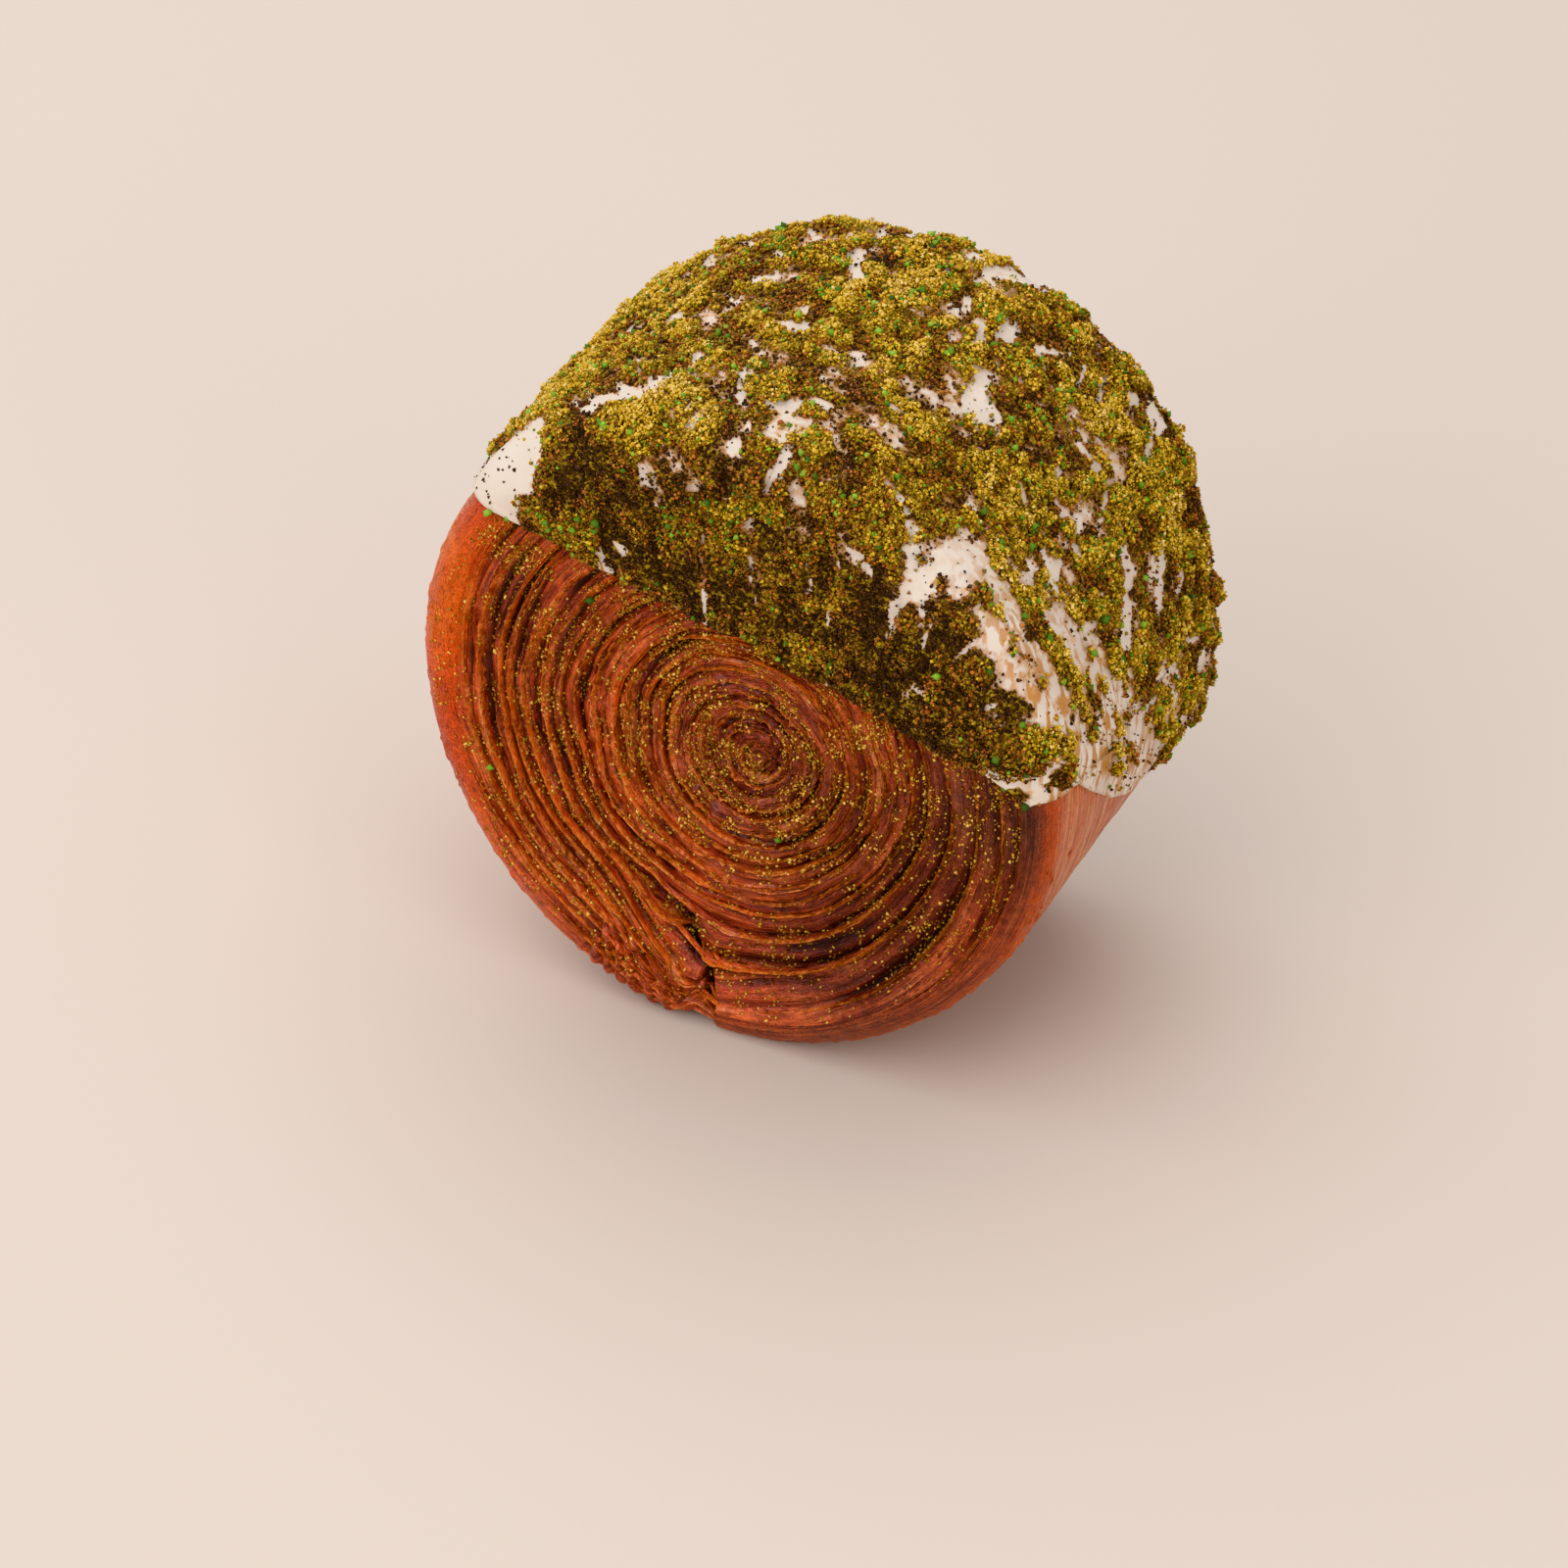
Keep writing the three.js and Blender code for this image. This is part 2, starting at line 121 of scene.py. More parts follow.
def ramp(value, start, end):
    """0 before start, 1 after end, and smooth between."""
    t = np.clip((value - start) / (end - start), 0, 1)
    return t * t * (3 - 2 * t)


def blend(a, b, share):
    return a + (b - a) * share


def angle_between(angle, centre):
    return np.arctan2(np.sin(angle - centre), np.cos(angle - centre))


def outline_radius(angle, y):
    """The roll's outline: a circle, fuller at the seam, pressed at the lower left, and swollen at
    its top towards the back."""
    swell = ramp(SWELL_SPREAD - np.abs(angle_between(angle, SWELL_ANGLE)), 0, SWELL_SPREAD)
    return (ROLL_RADIUS + SWELL_HEIGHT * swell * ramp(y, SWELL_START, SWELL_END)
            + SEAM_BULGE * hump(angle_between(angle, SEAM_BULGE_ANGLE), SEAM_BULGE_SPREAD)
            - PRESSED_DEPTH * hump(angle_between(angle, PRESSED_ANGLE), PRESSED_SPREAD))


def notch_depth(angle):
    """How far the notch at the seam cuts into the outline."""
    beside = angle_between(angle, SEAM_ANGLE) * ROLL_RADIUS
    width = np.where(beside < 0, NOTCH_LEFT_WIDTH, NOTCH_RIGHT_WIDTH)
    return NOTCH_DEPTH * np.clip(1 - np.abs(beside) / width, 0, 1) ** 1.3


def roll_point(angle, share, sunk, side):
    """A point of the roll's front half (side -1) or back half (side 1), sunk under its surface.
    A share up to 1 crosses the face from the spiral's centre, and then goes on over the rim."""
    bend = np.clip((share - 1) * FACE_REACH / RIM_ROUNDING, 0, math.pi / 2)
    straight = np.maximum(0, (share - RIM_SHARE) * FACE_REACH)
    out = FACE_REACH + RIM_ROUNDING * np.sin(bend)
    inset = RIM_ROUNDING * (1 - np.cos(bend)) + straight
    swollen = outline_radius(angle, side * (ROLL_THICKNESS / 2 - inset))
    radius = out * swollen / ROLL_RADIUS - sunk * np.sin(bend)
    radius = radius - notch_depth(angle) * ramp(share, 0.85, 1)
    across = np.minimum(share, 1)
    x = blend(SPIRAL_CENTRE[0], radius * np.cos(angle), across)
    z = blend(SPIRAL_CENTRE[1], radius * np.sin(angle), across)
    y = side * (ROLL_THICKNESS / 2 - inset - sunk * np.cos(bend))
    return np.stack([x, y, np.maximum(z, -REST_DEPTH)], -1)


def turn_angle(turn):
    """Where a share of a turn lies, counted from the seam, counter-clockwise from the front."""
    return SEAM_ANGLE + 2 * math.pi * turn


def wound_share(winding, turn):
    """How far out a winding lies on the face, at a share of a turn from the seam."""
    inner = INNER_STEP * winding + INNER_STEP_GROWTH * winding ** 2
    edge = INNER_STEP * INNER_TURNS + INNER_STEP_GROWTH * INNER_TURNS ** 2

    def bands(added_share):
        last = INNER_TURNS + OUTER_BANDS + BANDS_ADDED * added_share
        within = np.clip((winding - INNER_TURNS) / (last - INNER_TURNS), 0, 1)
        band = edge + (1 - edge) * within ** (1 + BAND_GROWTH * (1 - added_share) ** 2)
        over = 1 + (RIM_SHARE - 1) * (winding - last) / (TURNS - last)
        return np.where(winding < INNER_TURNS, inner, np.where(winding < last, band, over))

    spread = np.clip((turn - SPREAD_START) / (1 - SPREAD_START), 0, 1) ** 2
    return blend(bands(turn), bands(0 * turn), spread)


PAGE_WIDTH = 2.6
PAGE_DEPTH = 2.3
PAGES_START = 23.0  # how far before the seam they start, along the outline


def paged(angle, share):
    """1 just before the seam, where the layers' ends fan out over the rim like a book's pages."""
    near = np.minimum(share, 2 * RIM_SHARE + WALL_REACH / FACE_REACH - share)
    beside = angle_between(angle, SEAM_ANGLE) * ROLL_RADIUS
    there = ramp(beside, -PAGES_START, -PAGES_START + 6) * (1 - ramp(beside, -1.2, 0.2))
    return there * ramp(near, 0.84, 0.93) * (1 - ramp(near, RIM_SHARE + 0.03, RIM_SHARE + 0.16))


def pages(angle, share):
    """How deep the gaps between the pages are."""
    near = np.minimum(share, 2 * RIM_SHARE + WALL_REACH / FACE_REACH - share)
    inward = (1 - near) * FACE_REACH
    beside = angle_between(angle, SEAM_ANGLE) * ROLL_RADIUS
    bent = 0.35 * inward + 0.22 * np.maximum(inward, 0) ** 2
    place = (beside + bent) / PAGE_WIDTH + 0.3 * noise(beside / 6, inward / 6, 14)
    gap = 1 - np.abs(np.sin(math.pi * place)) ** 0.75
    return paged(angle, share) * (PAGE_DEPTH * gap - 0.5)


# A dark slit runs from the notch up under the strip's end: stops as across and height.
SLIT = [(-15, -23), (-11.3, -27), (-8.9, -29.1), (-6.4, -31.6), (-4, -35.3), (-2.7, -37.2), (-1.2, -39.4), (-0.3, -41.7), (0, -44.6), (-1.4, -52)]
SLIT_DEPTH = 3.6
SLIT_HALF_WIDTH = 1.3


def off_line(points, start, end):
    """How far each place lies from a line between two points."""
    start, end = np.array(start, float), np.array(end, float)
    along = np.clip(((points - start) @ (end - start)) / ((end - start) @ (end - start)), 0, 1)
    return np.linalg.norm(points - start - along[..., None] * (end - start), axis=-1)


def slit_depth(flat):
    """How deep the slit is at a place on an open side."""
    places = flat[..., [0, 2]]
    off = np.min([off_line(places, a, b) for a, b in zip(SLIT, SLIT[1:])], 0)
    half = SLIT_HALF_WIDTH * blend(0.6, 1, ramp(-places[..., 1], 25, 33))
    return SLIT_DEPTH * (1 - ramp(off, 0.3 * half, half)) * ramp(-places[..., 1], 24, 29)


# Across one layer: a thin raised edge, a lip behind it, a band that slopes out to the gap before
# the next edge. Each is how deep it lies, in millimetres.
EDGE_LIP = 0.3
GAP_WIDTH = 0.45
BAND_DEPTHS = (0.55, 1.05, 0.7, 1.35)
GAP_DEPTH = 2.6
FLAT_WIDTH = 2.4  # a layer this wide has its full relief


def settled(winding, turn, edge):
    """Where a winding really lies, as a share of the way out, and how deep its edge is worn.
    The layers waver and crowd together, and edge is 1 on an edge, which is ragged as well."""
    angle = turn_angle(turn) + 0 * winding
    share = wound_share(winding, turn)
    flat = roll_point(angle, share, 0, -1)
    x, z = flat[..., 0], flat[..., 2]
    knot = 1 + 2.2 * hump(np.hypot(x + 5, z + 29), 6)
    small = ramp(winding, 0.0, 1.6)
    waver = 0.013 * noise(x / 15, z / 15, 17) + 0.004 * knot * noise(x / 5, z / 5, 19)
    waver = waver + 0.012 * noise(winding * 3.1, seed=20) + 0.005 * knot * noise(winding * 13, seed=22)
    waver = waver + edge * 0.003 * noise(winding * 170, seed=21)
    share = np.where(share < 1, share + waver * small * (1 - ramp(share, 0.9, 1.0)), share)
    fan = ramp(turn, SPREAD_START, SPREAD_START + 0.045) * ramp(winding, SLIT_TURN + 0.3, SLIT_TURN + 1.5)
    fan = fan * (1 - ramp(share, 1.0, 1.06))
    right = hump(angle_between(angle, math.radians(-15)), math.radians(28))
    alive = np.maximum(1 - ramp(share, blend(0.955, 0.985, right), blend(1.0, 1.05, right)), fan)
    alive = alive * (1 - 0.65 * paged(angle, share))
    after = angle_between(angle, SEAM_ANGLE) * ROLL_RADIUS
    alive = alive * (1 - 0.7 * ramp(after, -1, 2) * (1 - ramp(after, 16, 34)) * ramp(share, 0.84, 0.9))
    ragged = 0.16 * noise(winding * 260, seed=7) + 0.22 * noise(winding * 90, seed=9)
    worn = 0.3 + ragged + 0.75 * ramp(noise(winding * 9.7, seed=11), 0.0, 0.7)
    uneven = 0.55 * noise(x / 8, z / 8, 13) * (1 - ramp(share, 0.85, 1))
    return np.maximum(share, 0), worn * alive * small, uneven, alive, fan


BROWNED = [(4, 2, 13, 0.55), (42, 2, 10, 1), (23, -22, 14, 0.6), (18, -38, 8, 0.4)]


def browning(points):
    """How dark a face has baked at a place: most at the right and in the middle."""
    x, z = points[..., 0], points[..., 2]
    return np.clip(sum(dark * hump(np.hypot(x - over_x, z - over_z), size)
                       for over_x, over_z, size, dark in BROWNED), 0, 1)


def strip_columns(side):
    """How far wound each column of a side lies, and which column its inner corner is shared with."""
    wound, shared = [], []
    once, twice = HALVED_BEFORE[side]
    before = COLUMNS // 4
    for number in range(-1, TURNS):
        count = COLUMNS // (4 if number < once else 2 if number < twice else 1)
        for column in range(count):
            step = column % 2 if count > before else 0
            shared.append(len(wound) - step)
            wound.append(number + column / count)
        before = count
    return np.array(wound + [TURNS]), np.array(shared + [len(wound)])


def spiral_side(rows, side):
    """The points of one open side, as a long strip of columns, with what the finish needs."""
    wound, shared = strip_columns(side)
    wound = wound[:, None]
    turn = wound - np.floor(wound)
    first = np.clip(wound, 0, TURNS)
    last = np.clip(wound + 1, 0, TURNS)
    width = (wound_share(last, turn) - wound_share(first, turn)) * ROLL_RADIUS
    opened = GAP_WIDTH * (1 + 0.8 * noise(wound * 11, seed=4))
    lip = np.minimum(0.2, EDGE_LIP / np.maximum(width, 0.01))
    gap = 1 - np.minimum(0.34, opened / np.maximum(width, 0.01))
    if rows == 6:
        ledge = 0.5 + 0.16 * noise(wound * 7, seed=6)
        across = [0 * lip, lip, blend(lip, gap, ledge - 0.16), blend(lip, gap, ledge),
                  blend(lip, gap, 0.86), gap, 1 + 0 * lip]
        depths = np.array([0, *BAND_DEPTHS, GAP_DEPTH, 0])
        edges = np.array([1, 0.4, 0, 0.25, 0, 0, 1])
    else:
        across = [0 * lip, 1.4 * lip, gap, 1 + 0 * lip]
        depths = np.array([0, BAND_DEPTHS[0], GAP_DEPTH, 0])
        edges = np.array([1, 0.4, 0, 1])
    winding = first + (last - first) * np.concatenate(across, 1)

    # No two layers are alike: some edges stand tall, others are worn down or stuck together.
    crest = edges == 1
    share, worn, uneven, alive, fan = settled(winding, turn, crest)
    strength = 0.68 + 0.55 * noise(wound * 5.3, seed=3) + 0.4 * noise(wound * 23, seed=5)
    strength = np.clip(strength, 0.12, 1.3)
    small = ramp(winding, 0.0, 1.6)
    sunk = depths * strength * alive * small * np.clip(width / FLAT_WIDTH, 0.6, 1.3)
    sunk = sunk + np.where(crest, worn, 0) + uneven
    streak = 0.3 * noise(wound * 71 + 40 * np.arange(rows + 1), seed=29) * alive * small
    sunk = sunk + np.where(crest, 0, streak)

    # Blisters on the rim.
    angle = turn_angle(turn) + 0 * share
    flat = roll_point(angle, share, 0, side)
    left = hump(angle_between(angle, math.radians(172)), math.radians(42))
    rim = ramp(share, blend(1.06, 0.92, left), blend(1.15, 0.975, left))
    blister = ramp(roughness(flat, 0.9, 15), 0.62, 0.85) * (0.3 + 0.9 * roughness(flat, 7, 16))
    sunk = sunk - 0.28 * blister * rim * (1 - fan) + 0.25 * (roughness(flat, 5, 18) - 0.5) * rim
    sunk = sunk + pages(angle, share) + slit_depth(flat) * (1 - ramp(share, 1.0, 1.15))
    points = roll_point(angle, share, sunk, side)
    # lift drives the finish's painted shade: 1 on the crests and 0 at the bottom of the gaps.
    values = {"lift": 1 - np.clip(sunk / GAP_DEPTH, 0, 1), "edge": edges * alive,
              "rim": rim * (1 - 0.6 * fan), "winding": winding, "browned": browning(points)}
    points[:, 0] = points[shared, 0]
    return points, values


WALL_ROWS = 26
WALL_STREAK = 2.0  # how wide the streaks on the wall are


def wall_sheet():
    """The points of the wall, from the front rim to the back one."""
    angle = turn_angle(np.linspace(0, 1, COLUMNS + 1))[:, None]
    across = np.linspace(0, 1, WALL_ROWS + 1)[None, :]
    share = RIM_SHARE + across * WALL_REACH / FACE_REACH + 0 * angle
    points = roll_point(angle + 0 * share, share, 0 * share, -1)
    inside = np.sin(np.pi * across) ** 0.5
    arc = ROLL_RADIUS * np.stack([np.cos(angle), np.sin(angle)], -1) + 0 * points[..., :2]
    bump = (0.35 * (2 * roughness(np.stack([arc[..., 0] / 2, points[..., 1] * 1.6, arc[..., 1] / 2], -1), 3, 23) - 1)
            + 0.5 * (2 * roughness(points, 9, 25) - 1))
    pit = ramp(roughness(points, 1.6, 27), 0.8, 0.95)
    sunk = (bump * 0.5 + 0.5 * pit) * inside
    sunk = sunk + pages(angle + 0 * share, share)
    moved = roll_point(angle + 0 * share, share, sunk, -1)
    streak = TURNS + across * WALL_REACH / WALL_STREAK + 0 * angle
    # The wall's pits get painted shade through lift.
    return moved, {"lift": 1 - np.clip(sunk, 0, 1), "edge": 0 * sunk, "rim": 1 + 0 * sunk,
                   "winding": streak, "browned": 0 * sunk}


def add_sheet(bm, points, values):
    """Adds a strip to the mesh: a grid whose points are moved to where they lie on the roll."""
    columns, rows = points.shape[0] - 1, points.shape[1] - 1
    sheet = bmesh.ops.create_grid(bm, x_segments=columns, y_segments=rows, size=0.5)["verts"]
    layers = {name: bm.verts.layers.float.get(name) or bm.verts.layers.float.new(name)
              for name in values}
    for v in sheet:
        column = round((v.co.x + 0.5) * columns)
        row = round((v.co.y + 0.5) * rows)
        v.co = (points[column, row] + ROLL_AXIS) / 1000
        for name, layer in layers.items():
            v[layer] = values[name][column, row]


def piece_from(bm, name, replaced=None):
    """Makes a finished mesh an object that rides on the part."""
    mesh = bpy.data.meshes.new(name)
    bm.to_mesh(mesh)
    bm.free()
    mesh.polygons.foreach_set("use_smooth", np.ones(len(mesh.polygons), bool))
    piece = bpy.data.objects.new(name, mesh)
    bpy.context.scene.collection.objects.link(piece)
    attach(piece, "root")
    if replaced:
        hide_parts(replaced)
    return piece


FINISH_LAYERS = ("lift", "edge", "rim", "winding", "browned")

roll = bmesh.new()
for layer_name in FINISH_LAYERS:
    roll.verts.layers.float.new(layer_name)
front_side = spiral_side(6, -1)
back_side = spiral_side(3, 1)
add_sheet(roll, *front_side)
add_sheet(roll, *back_side)
add_sheet(roll, *wall_sheet())
bmesh.ops.remove_doubles(roll, verts=roll.verts, dist=1e-6)
centre = Vector((ROLL_AXIS[0] + SPIRAL_CENTRE[0], 0, ROLL_AXIS[2] + SPIRAL_CENTRE[1])) / 1000
middle = [v for v in roll.verts if math.hypot(v.co.x - centre.x, v.co.z - centre.z) < 0.004]
bmesh.ops.remove_doubles(roll, verts=middle, dist=7e-5)
bmesh.ops.dissolve_degenerate(roll, dist=1e-6, edges=roll.edges)
bmesh.ops.recalc_face_normals(roll, faces=roll.faces)
pastry = piece_from(roll, "rolled_dough", "pastry")


def nodes_of(name):
    """A new material with its nodes, its main shader, and a function that adds a node."""
    material = bpy.data.materials.new(name)
    material.use_nodes = True
    tree = material.node_tree
    shader = tree.nodes["Principled BSDF"]

    def add(kind, links=(), **settings):
        node = tree.nodes.new(kind)
        for key, value in settings.items():
            setattr(node, key, value)
        for socket, source in links:
            if isinstance(source, bpy.types.NodeSocket):
                tree.links.new(source, node.inputs[socket])
            else:
                node.inputs[socket].default_value = source
        return node

    return material, tree, shader, add


def colour(red, green, blue):
    """A shader colour, made linear, from the given 0 to 255 values."""
    def linear(value):
        value /= 255
        return value / 12.92 if value <= 0.04045 else ((value + 0.055) / 1.055) ** 2.4
    return (linear(red), linear(green), linear(blue), 1)


def colour_ramp(add, factor, stops):
    """A Color Ramp node through the given places and colours."""
    node = add("ShaderNodeValToRGB", [("Fac", factor)])
    elements = node.color_ramp.elements
    while len(elements) < len(stops):
        elements.new(0.5)
    for element, (place, value) in zip(elements, stops):
        element.position = place
        element.color = value
    return node.outputs["Color"]


def mixed(add, factor, first, second, mode="MIX"):
    """A Mix node for two colours."""
    node = add("ShaderNodeMix", data_type="RGBA", blend_type=mode)
    tree = node.id_data
    for socket, source in ((0, factor), (6, first), (7, second)):
        if isinstance(source, bpy.types.NodeSocket):
            tree.links.new(source, node.inputs[socket])
        else:
            node.inputs[socket].default_value = source
    return node.outputs[2]


def noise_node(add, place, scale, detail=4.0, along=None, stretch=1.0):
    """Noise over a place, or over a place and a fourth value that it follows across the layers."""
    if along is None:
        return add("ShaderNodeTexNoise", [("Vector", place), ("Scale", scale), ("Detail", detail)]).outputs["Fac"]
    fourth = add("ShaderNodeMath", [(0, along), (1, stretch)], operation="MULTIPLY").outputs[0]
    node = add("ShaderNodeTexNoise", noise_dimensions="4D")
    for socket, source in (("Vector", place), ("W", fourth)):
        node.id_data.links.new(source, node.inputs[socket])
    node.inputs["Scale"].default_value = scale
    node.inputs["Detail"].default_value = detail
    return node.outputs["Fac"]


def baked_dough():
    """Browned dough: red-brown on the bands, with painted shade that turns the gaps black-brown,
    gold on torn edges, partly as a painted highlight, and orange and glossy on the rim and the
    wall, with streaks that follow the layers."""
    material, tree, shader, add = nodes_of("baked_dough")
    place = add("ShaderNodeTexCoord").outputs["Object"]
    lift, edge, rim, winding, browned = (
        add("ShaderNodeAttribute", attribute_name=name).outputs["Fac"] for name in FINISH_LAYERS)
    patches = noise_node(add, place, 60.0)
    mottle = noise_node(add, place, 650.0)
    streaks = noise_node(add, place, 70.0, 4.0, winding, 0.06)
    fine_streaks = noise_node(add, place, 110.0, 3.0, winding, 0.11)
    grainy = noise_node(add, place, 1300.0, 4.0)

    band = colour_ramp(add, streaks, [
        (0.32, colour(124, 44, 28)), (0.46, colour(180, 72, 38)), (0.58, colour(214, 96, 46)),
        (0.72, colour(240, 142, 78))])
    # Painted shade: lift darkens the colour to near black at the bottom of the gaps between the layers and in the
    # wall's pits, and lightens it a little on the crests.
    deep = colour_ramp(add, lift, [
        (0.0, (0.05, 0.03, 0.06, 1)), (0.3, (0.26, 0.2, 0.42, 1)), (0.6, (0.8, 0.76, 1, 1)),
        (0.85, (1, 1, 1.1, 1))])
    face = mixed(add, 1.0, band, deep, "MULTIPLY")
    speckled = colour_ramp(add, mottle, [(0.3, (0.55, 0.48, 0.46, 1)), (0.5, (1, 1, 1, 1)), (0.72, (1.4, 1.45, 1.4, 1))])
    face = mixed(add, 0.8, face, speckled, "MULTIPLY")
    lined = colour_ramp(add, fine_streaks, [
        (0.36, (0.42, 0.36, 0.5, 1)), (0.5, (1, 1, 1, 1)), (0.66, (1.3, 1.35, 1.4, 1))])
    face = mixed(add, 0.75, face, lined, "MULTIPLY")
    face = mixed(add, browned, face, mixed(add, 1.0, face, (0.27, 0.36, 0.62, 1), "MULTIPLY"))
    # Gold on the torn edges: paler crisp pastry, and partly a painted highlight along the crests.
    torn = add("ShaderNodeMath", [(0, edge), (1, grainy)], operation="MULTIPLY").outputs[0]
    torn = add("ShaderNodeMapRange", [("Value", torn), ("From Min", 0.3), ("From Max", 0.6)]).outputs[0]
    face = mixed(add, torn, face, colour(222, 134, 70))

    crust = colour_ramp(add, patches, [
        (0.3, colour(200, 62, 6)), (0.5, colour(226, 82, 8)), (0.7, colour(242, 112, 20))])
    crust = mixed(add, 0.35, crust, speckled, "MULTIPLY")
    pale = colour_ramp(add, streaks, [
        (0.36, colour(200, 68, 10)), (0.52, colour(238, 114, 34)), (0.68, colour(255, 196, 130))])
    y = add("ShaderNodeSeparateXYZ", [("Vector", place)]).outputs["Y"]
    depth = add("ShaderNodeMath", [(0, y), (1, 0.0)], operation="ABSOLUTE").outputs[0]
    on_wall = add("ShaderNodeMapRange", [
        ("Value", depth), ("From Min", 0.029), ("From Max", 0.023)]).outputs[0]
    crust = mixed(add, on_wall, crust, pale)
    tree.links.new(mixed(add, rim, face, crust), shader.inputs["Base Color"])
    gloss = add("ShaderNodeMapRange", [("Value", mottle), ("To Min", 0.16), ("To Max", 0.56)]).outputs[0]
    tree.links.new(gloss, shader.inputs["Roughness"])
    shader.inputs["Coat Weight"].default_value = 0.35
    shader.inputs["Coat Roughness"].default_value = 0.25
    shader.inputs["Subsurface Weight"].default_value = 0.06
    shader.inputs["Subsurface Radius"].default_value = (0.003, 0.0012, 0.0005)
    shader.inputs["Subsurface Scale"].default_value = 1.0
    ridged = add("ShaderNodeBump", [("Height", fine_streaks), ("Strength", 1.0), ("Distance", 0.0018)])
    bump = add("ShaderNodeBump", [
        ("Height", grainy), ("Strength", 0.8), ("Distance", 0.0008), ("Normal", ridged.outputs["Normal"])])
    tree.links.new(bump.outputs["Normal"], shader.inputs["Normal"])
    return material


dough_finish = baked_dough()
pastry.data.materials.append(dough_finish)


# ---- The torn edges ----
# The thin crisp edges of the layers, which stand up from the spiral sides like torn paper.
# Each is a thin blade whose foot is sunk in the dough.
BLADE_STEP = 0.36
BLADE_STEP_BACK = 0.8
BLADE_FOOT = 0.17
BLADE_SUNK = 0.5
SHRED_COUNT = 420
SHRED_COUNT_BACK = 150
SHRED_STEP = 0.4
SHRED_DRAWS = np.random.default_rng(3)


def blade(wound, rise, level, lean, side):
    """The three points round each section of a blade that follows the spiral, closed at its ends."""
    turn = wound % 1
    share, worn, uneven, alive, _ = settled(wound, turn, 1)
    angle = turn_angle(turn)
    foot = BLADE_FOOT / ROLL_RADIUS
    base = worn * (level is None) + uneven + (0 if level is None else level)
    base = base + 1.3 * slit_depth(roll_point(angle, share, 0, side))
    rise = rise * alive
    rise[0] = rise[-1] = -BLADE_SUNK
    section = [(-foot, base + BLADE_SUNK), (0.3 * foot + lean, base - rise), (foot, base + BLADE_SUNK),
               (-foot, base + BLADE_SUNK)]
    points = np.stack([roll_point(angle, share + out, sunk, side) for out, sunk in section], 1)
    low, tip = 0.5 + 0 * rise, 1 + 0 * rise
    edge = np.stack([0 * low, tip, 0 * low, 0 * low], 1)
    # The blades' feet get half lift, which paints shade low on each blade.
    values = {"lift": np.stack([low, tip, low, low], 1), "edge": edge, "rim": 0 * edge,
              "winding": np.repeat(wound[:, None], 4, 1), "browned": browning(points)}
    return points, values


def steps_along(start, end, step):
    """Windings from start to end that lie an even step apart."""
    wound = [start]
    while wound[-1] < end:
        around = 2 * math.pi * ROLL_RADIUS * float(wound_share(wound[-1], wound[-1] % 1))
        wound.append(wound[-1] + step / max(around, 8))
    return np.array(wound)


def torn_edge(side, step):
    """The edge of the whole strip."""
    wound = steps_along(1.2, TURNS - 0.1, step)
    standing = ramp(noise(wound * 6.1, seed=51) + 0.5 * noise(wound * 31, seed=52), -0.5, 0.5)
    torn = (0.3 + 0.3 * noise(wound * 520, seed=53) + 0.26 * noise(wound * 130, seed=54)
            + 0.2 * noise(wound * 40, seed=55))
    lean = (0.3 * noise(wound * 90, seed=56) + 0.25 * noise(wound * 17, seed=57)) / ROLL_RADIUS
    return blade(wound, np.clip(torn, -0.2, 0.9) * (0.35 + 0.75 * standing), None, lean, side)


def shred(side, draws):
    """A thin layer that split off between two edges and follows them a short way."""
    start = TURNS * draws.uniform(0.1, 0.97) ** 0.62
    if draws.uniform() > blend(0.3, 1.0, ramp(start % 1, 0.3, 0.6)):
        start += 0.45
    around = 2 * math.pi * ROLL_RADIUS * float(wound_share(start, start % 1))
    end = min(start + draws.uniform(6, 30) / around, TURNS - 0.3)
    wound = steps_along(start, end, SHRED_STEP * (1 if side < 0 else 2))
    drift = 0.3 * np.linspace(-1, 1, len(wound)) * draws.uniform(-1, 1)
    taper = np.sin(np.linspace(0, math.pi, len(wound))) ** 0.4
    seed = draws.uniform(0, 90)
    torn = 0.55 + 0.25 * noise(wound * 420, seed=seed) + 0.3 * noise(wound * 120, seed=seed + 1)
    lean = 0.35 * noise(wound * 60, seed=seed + 2) / ROLL_RADIUS
    return blade(wound + draws.uniform(0.15, 0.8) + drift, torn * taper * draws.uniform(0.5, 1.1),
                 draws.uniform(0.45, 0.95), lean, side)


for edges_name, edge_side, edge_step, shred_count in (
        ("torn_edges", -1, BLADE_STEP, SHRED_COUNT), ("torn_edges_behind", 1, BLADE_STEP_BACK, SHRED_COUNT_BACK)):
    edges = bmesh.new()
    for layer_name in FINISH_LAYERS:
        edges.verts.layers.float.new(layer_name)
    add_sheet(edges, *torn_edge(edge_side, edge_step))
    for _ in range(shred_count):
        add_sheet(edges, *shred(edge_side, SHRED_DRAWS))
    bmesh.ops.remove_doubles(edges, verts=edges.verts, dist=1e-7)
    bmesh.ops.holes_fill(edges, edges=[e for e in edges.edges if e.is_boundary], sides=0)
    bmesh.ops.recalc_face_normals(edges, faces=edges.faces)
    blades = piece_from(edges, edges_name)
    blades.data.polygons.foreach_set("use_smooth", np.zeros(len(blades.data.polygons), bool))
    blades.data.materials.append(dough_finish)


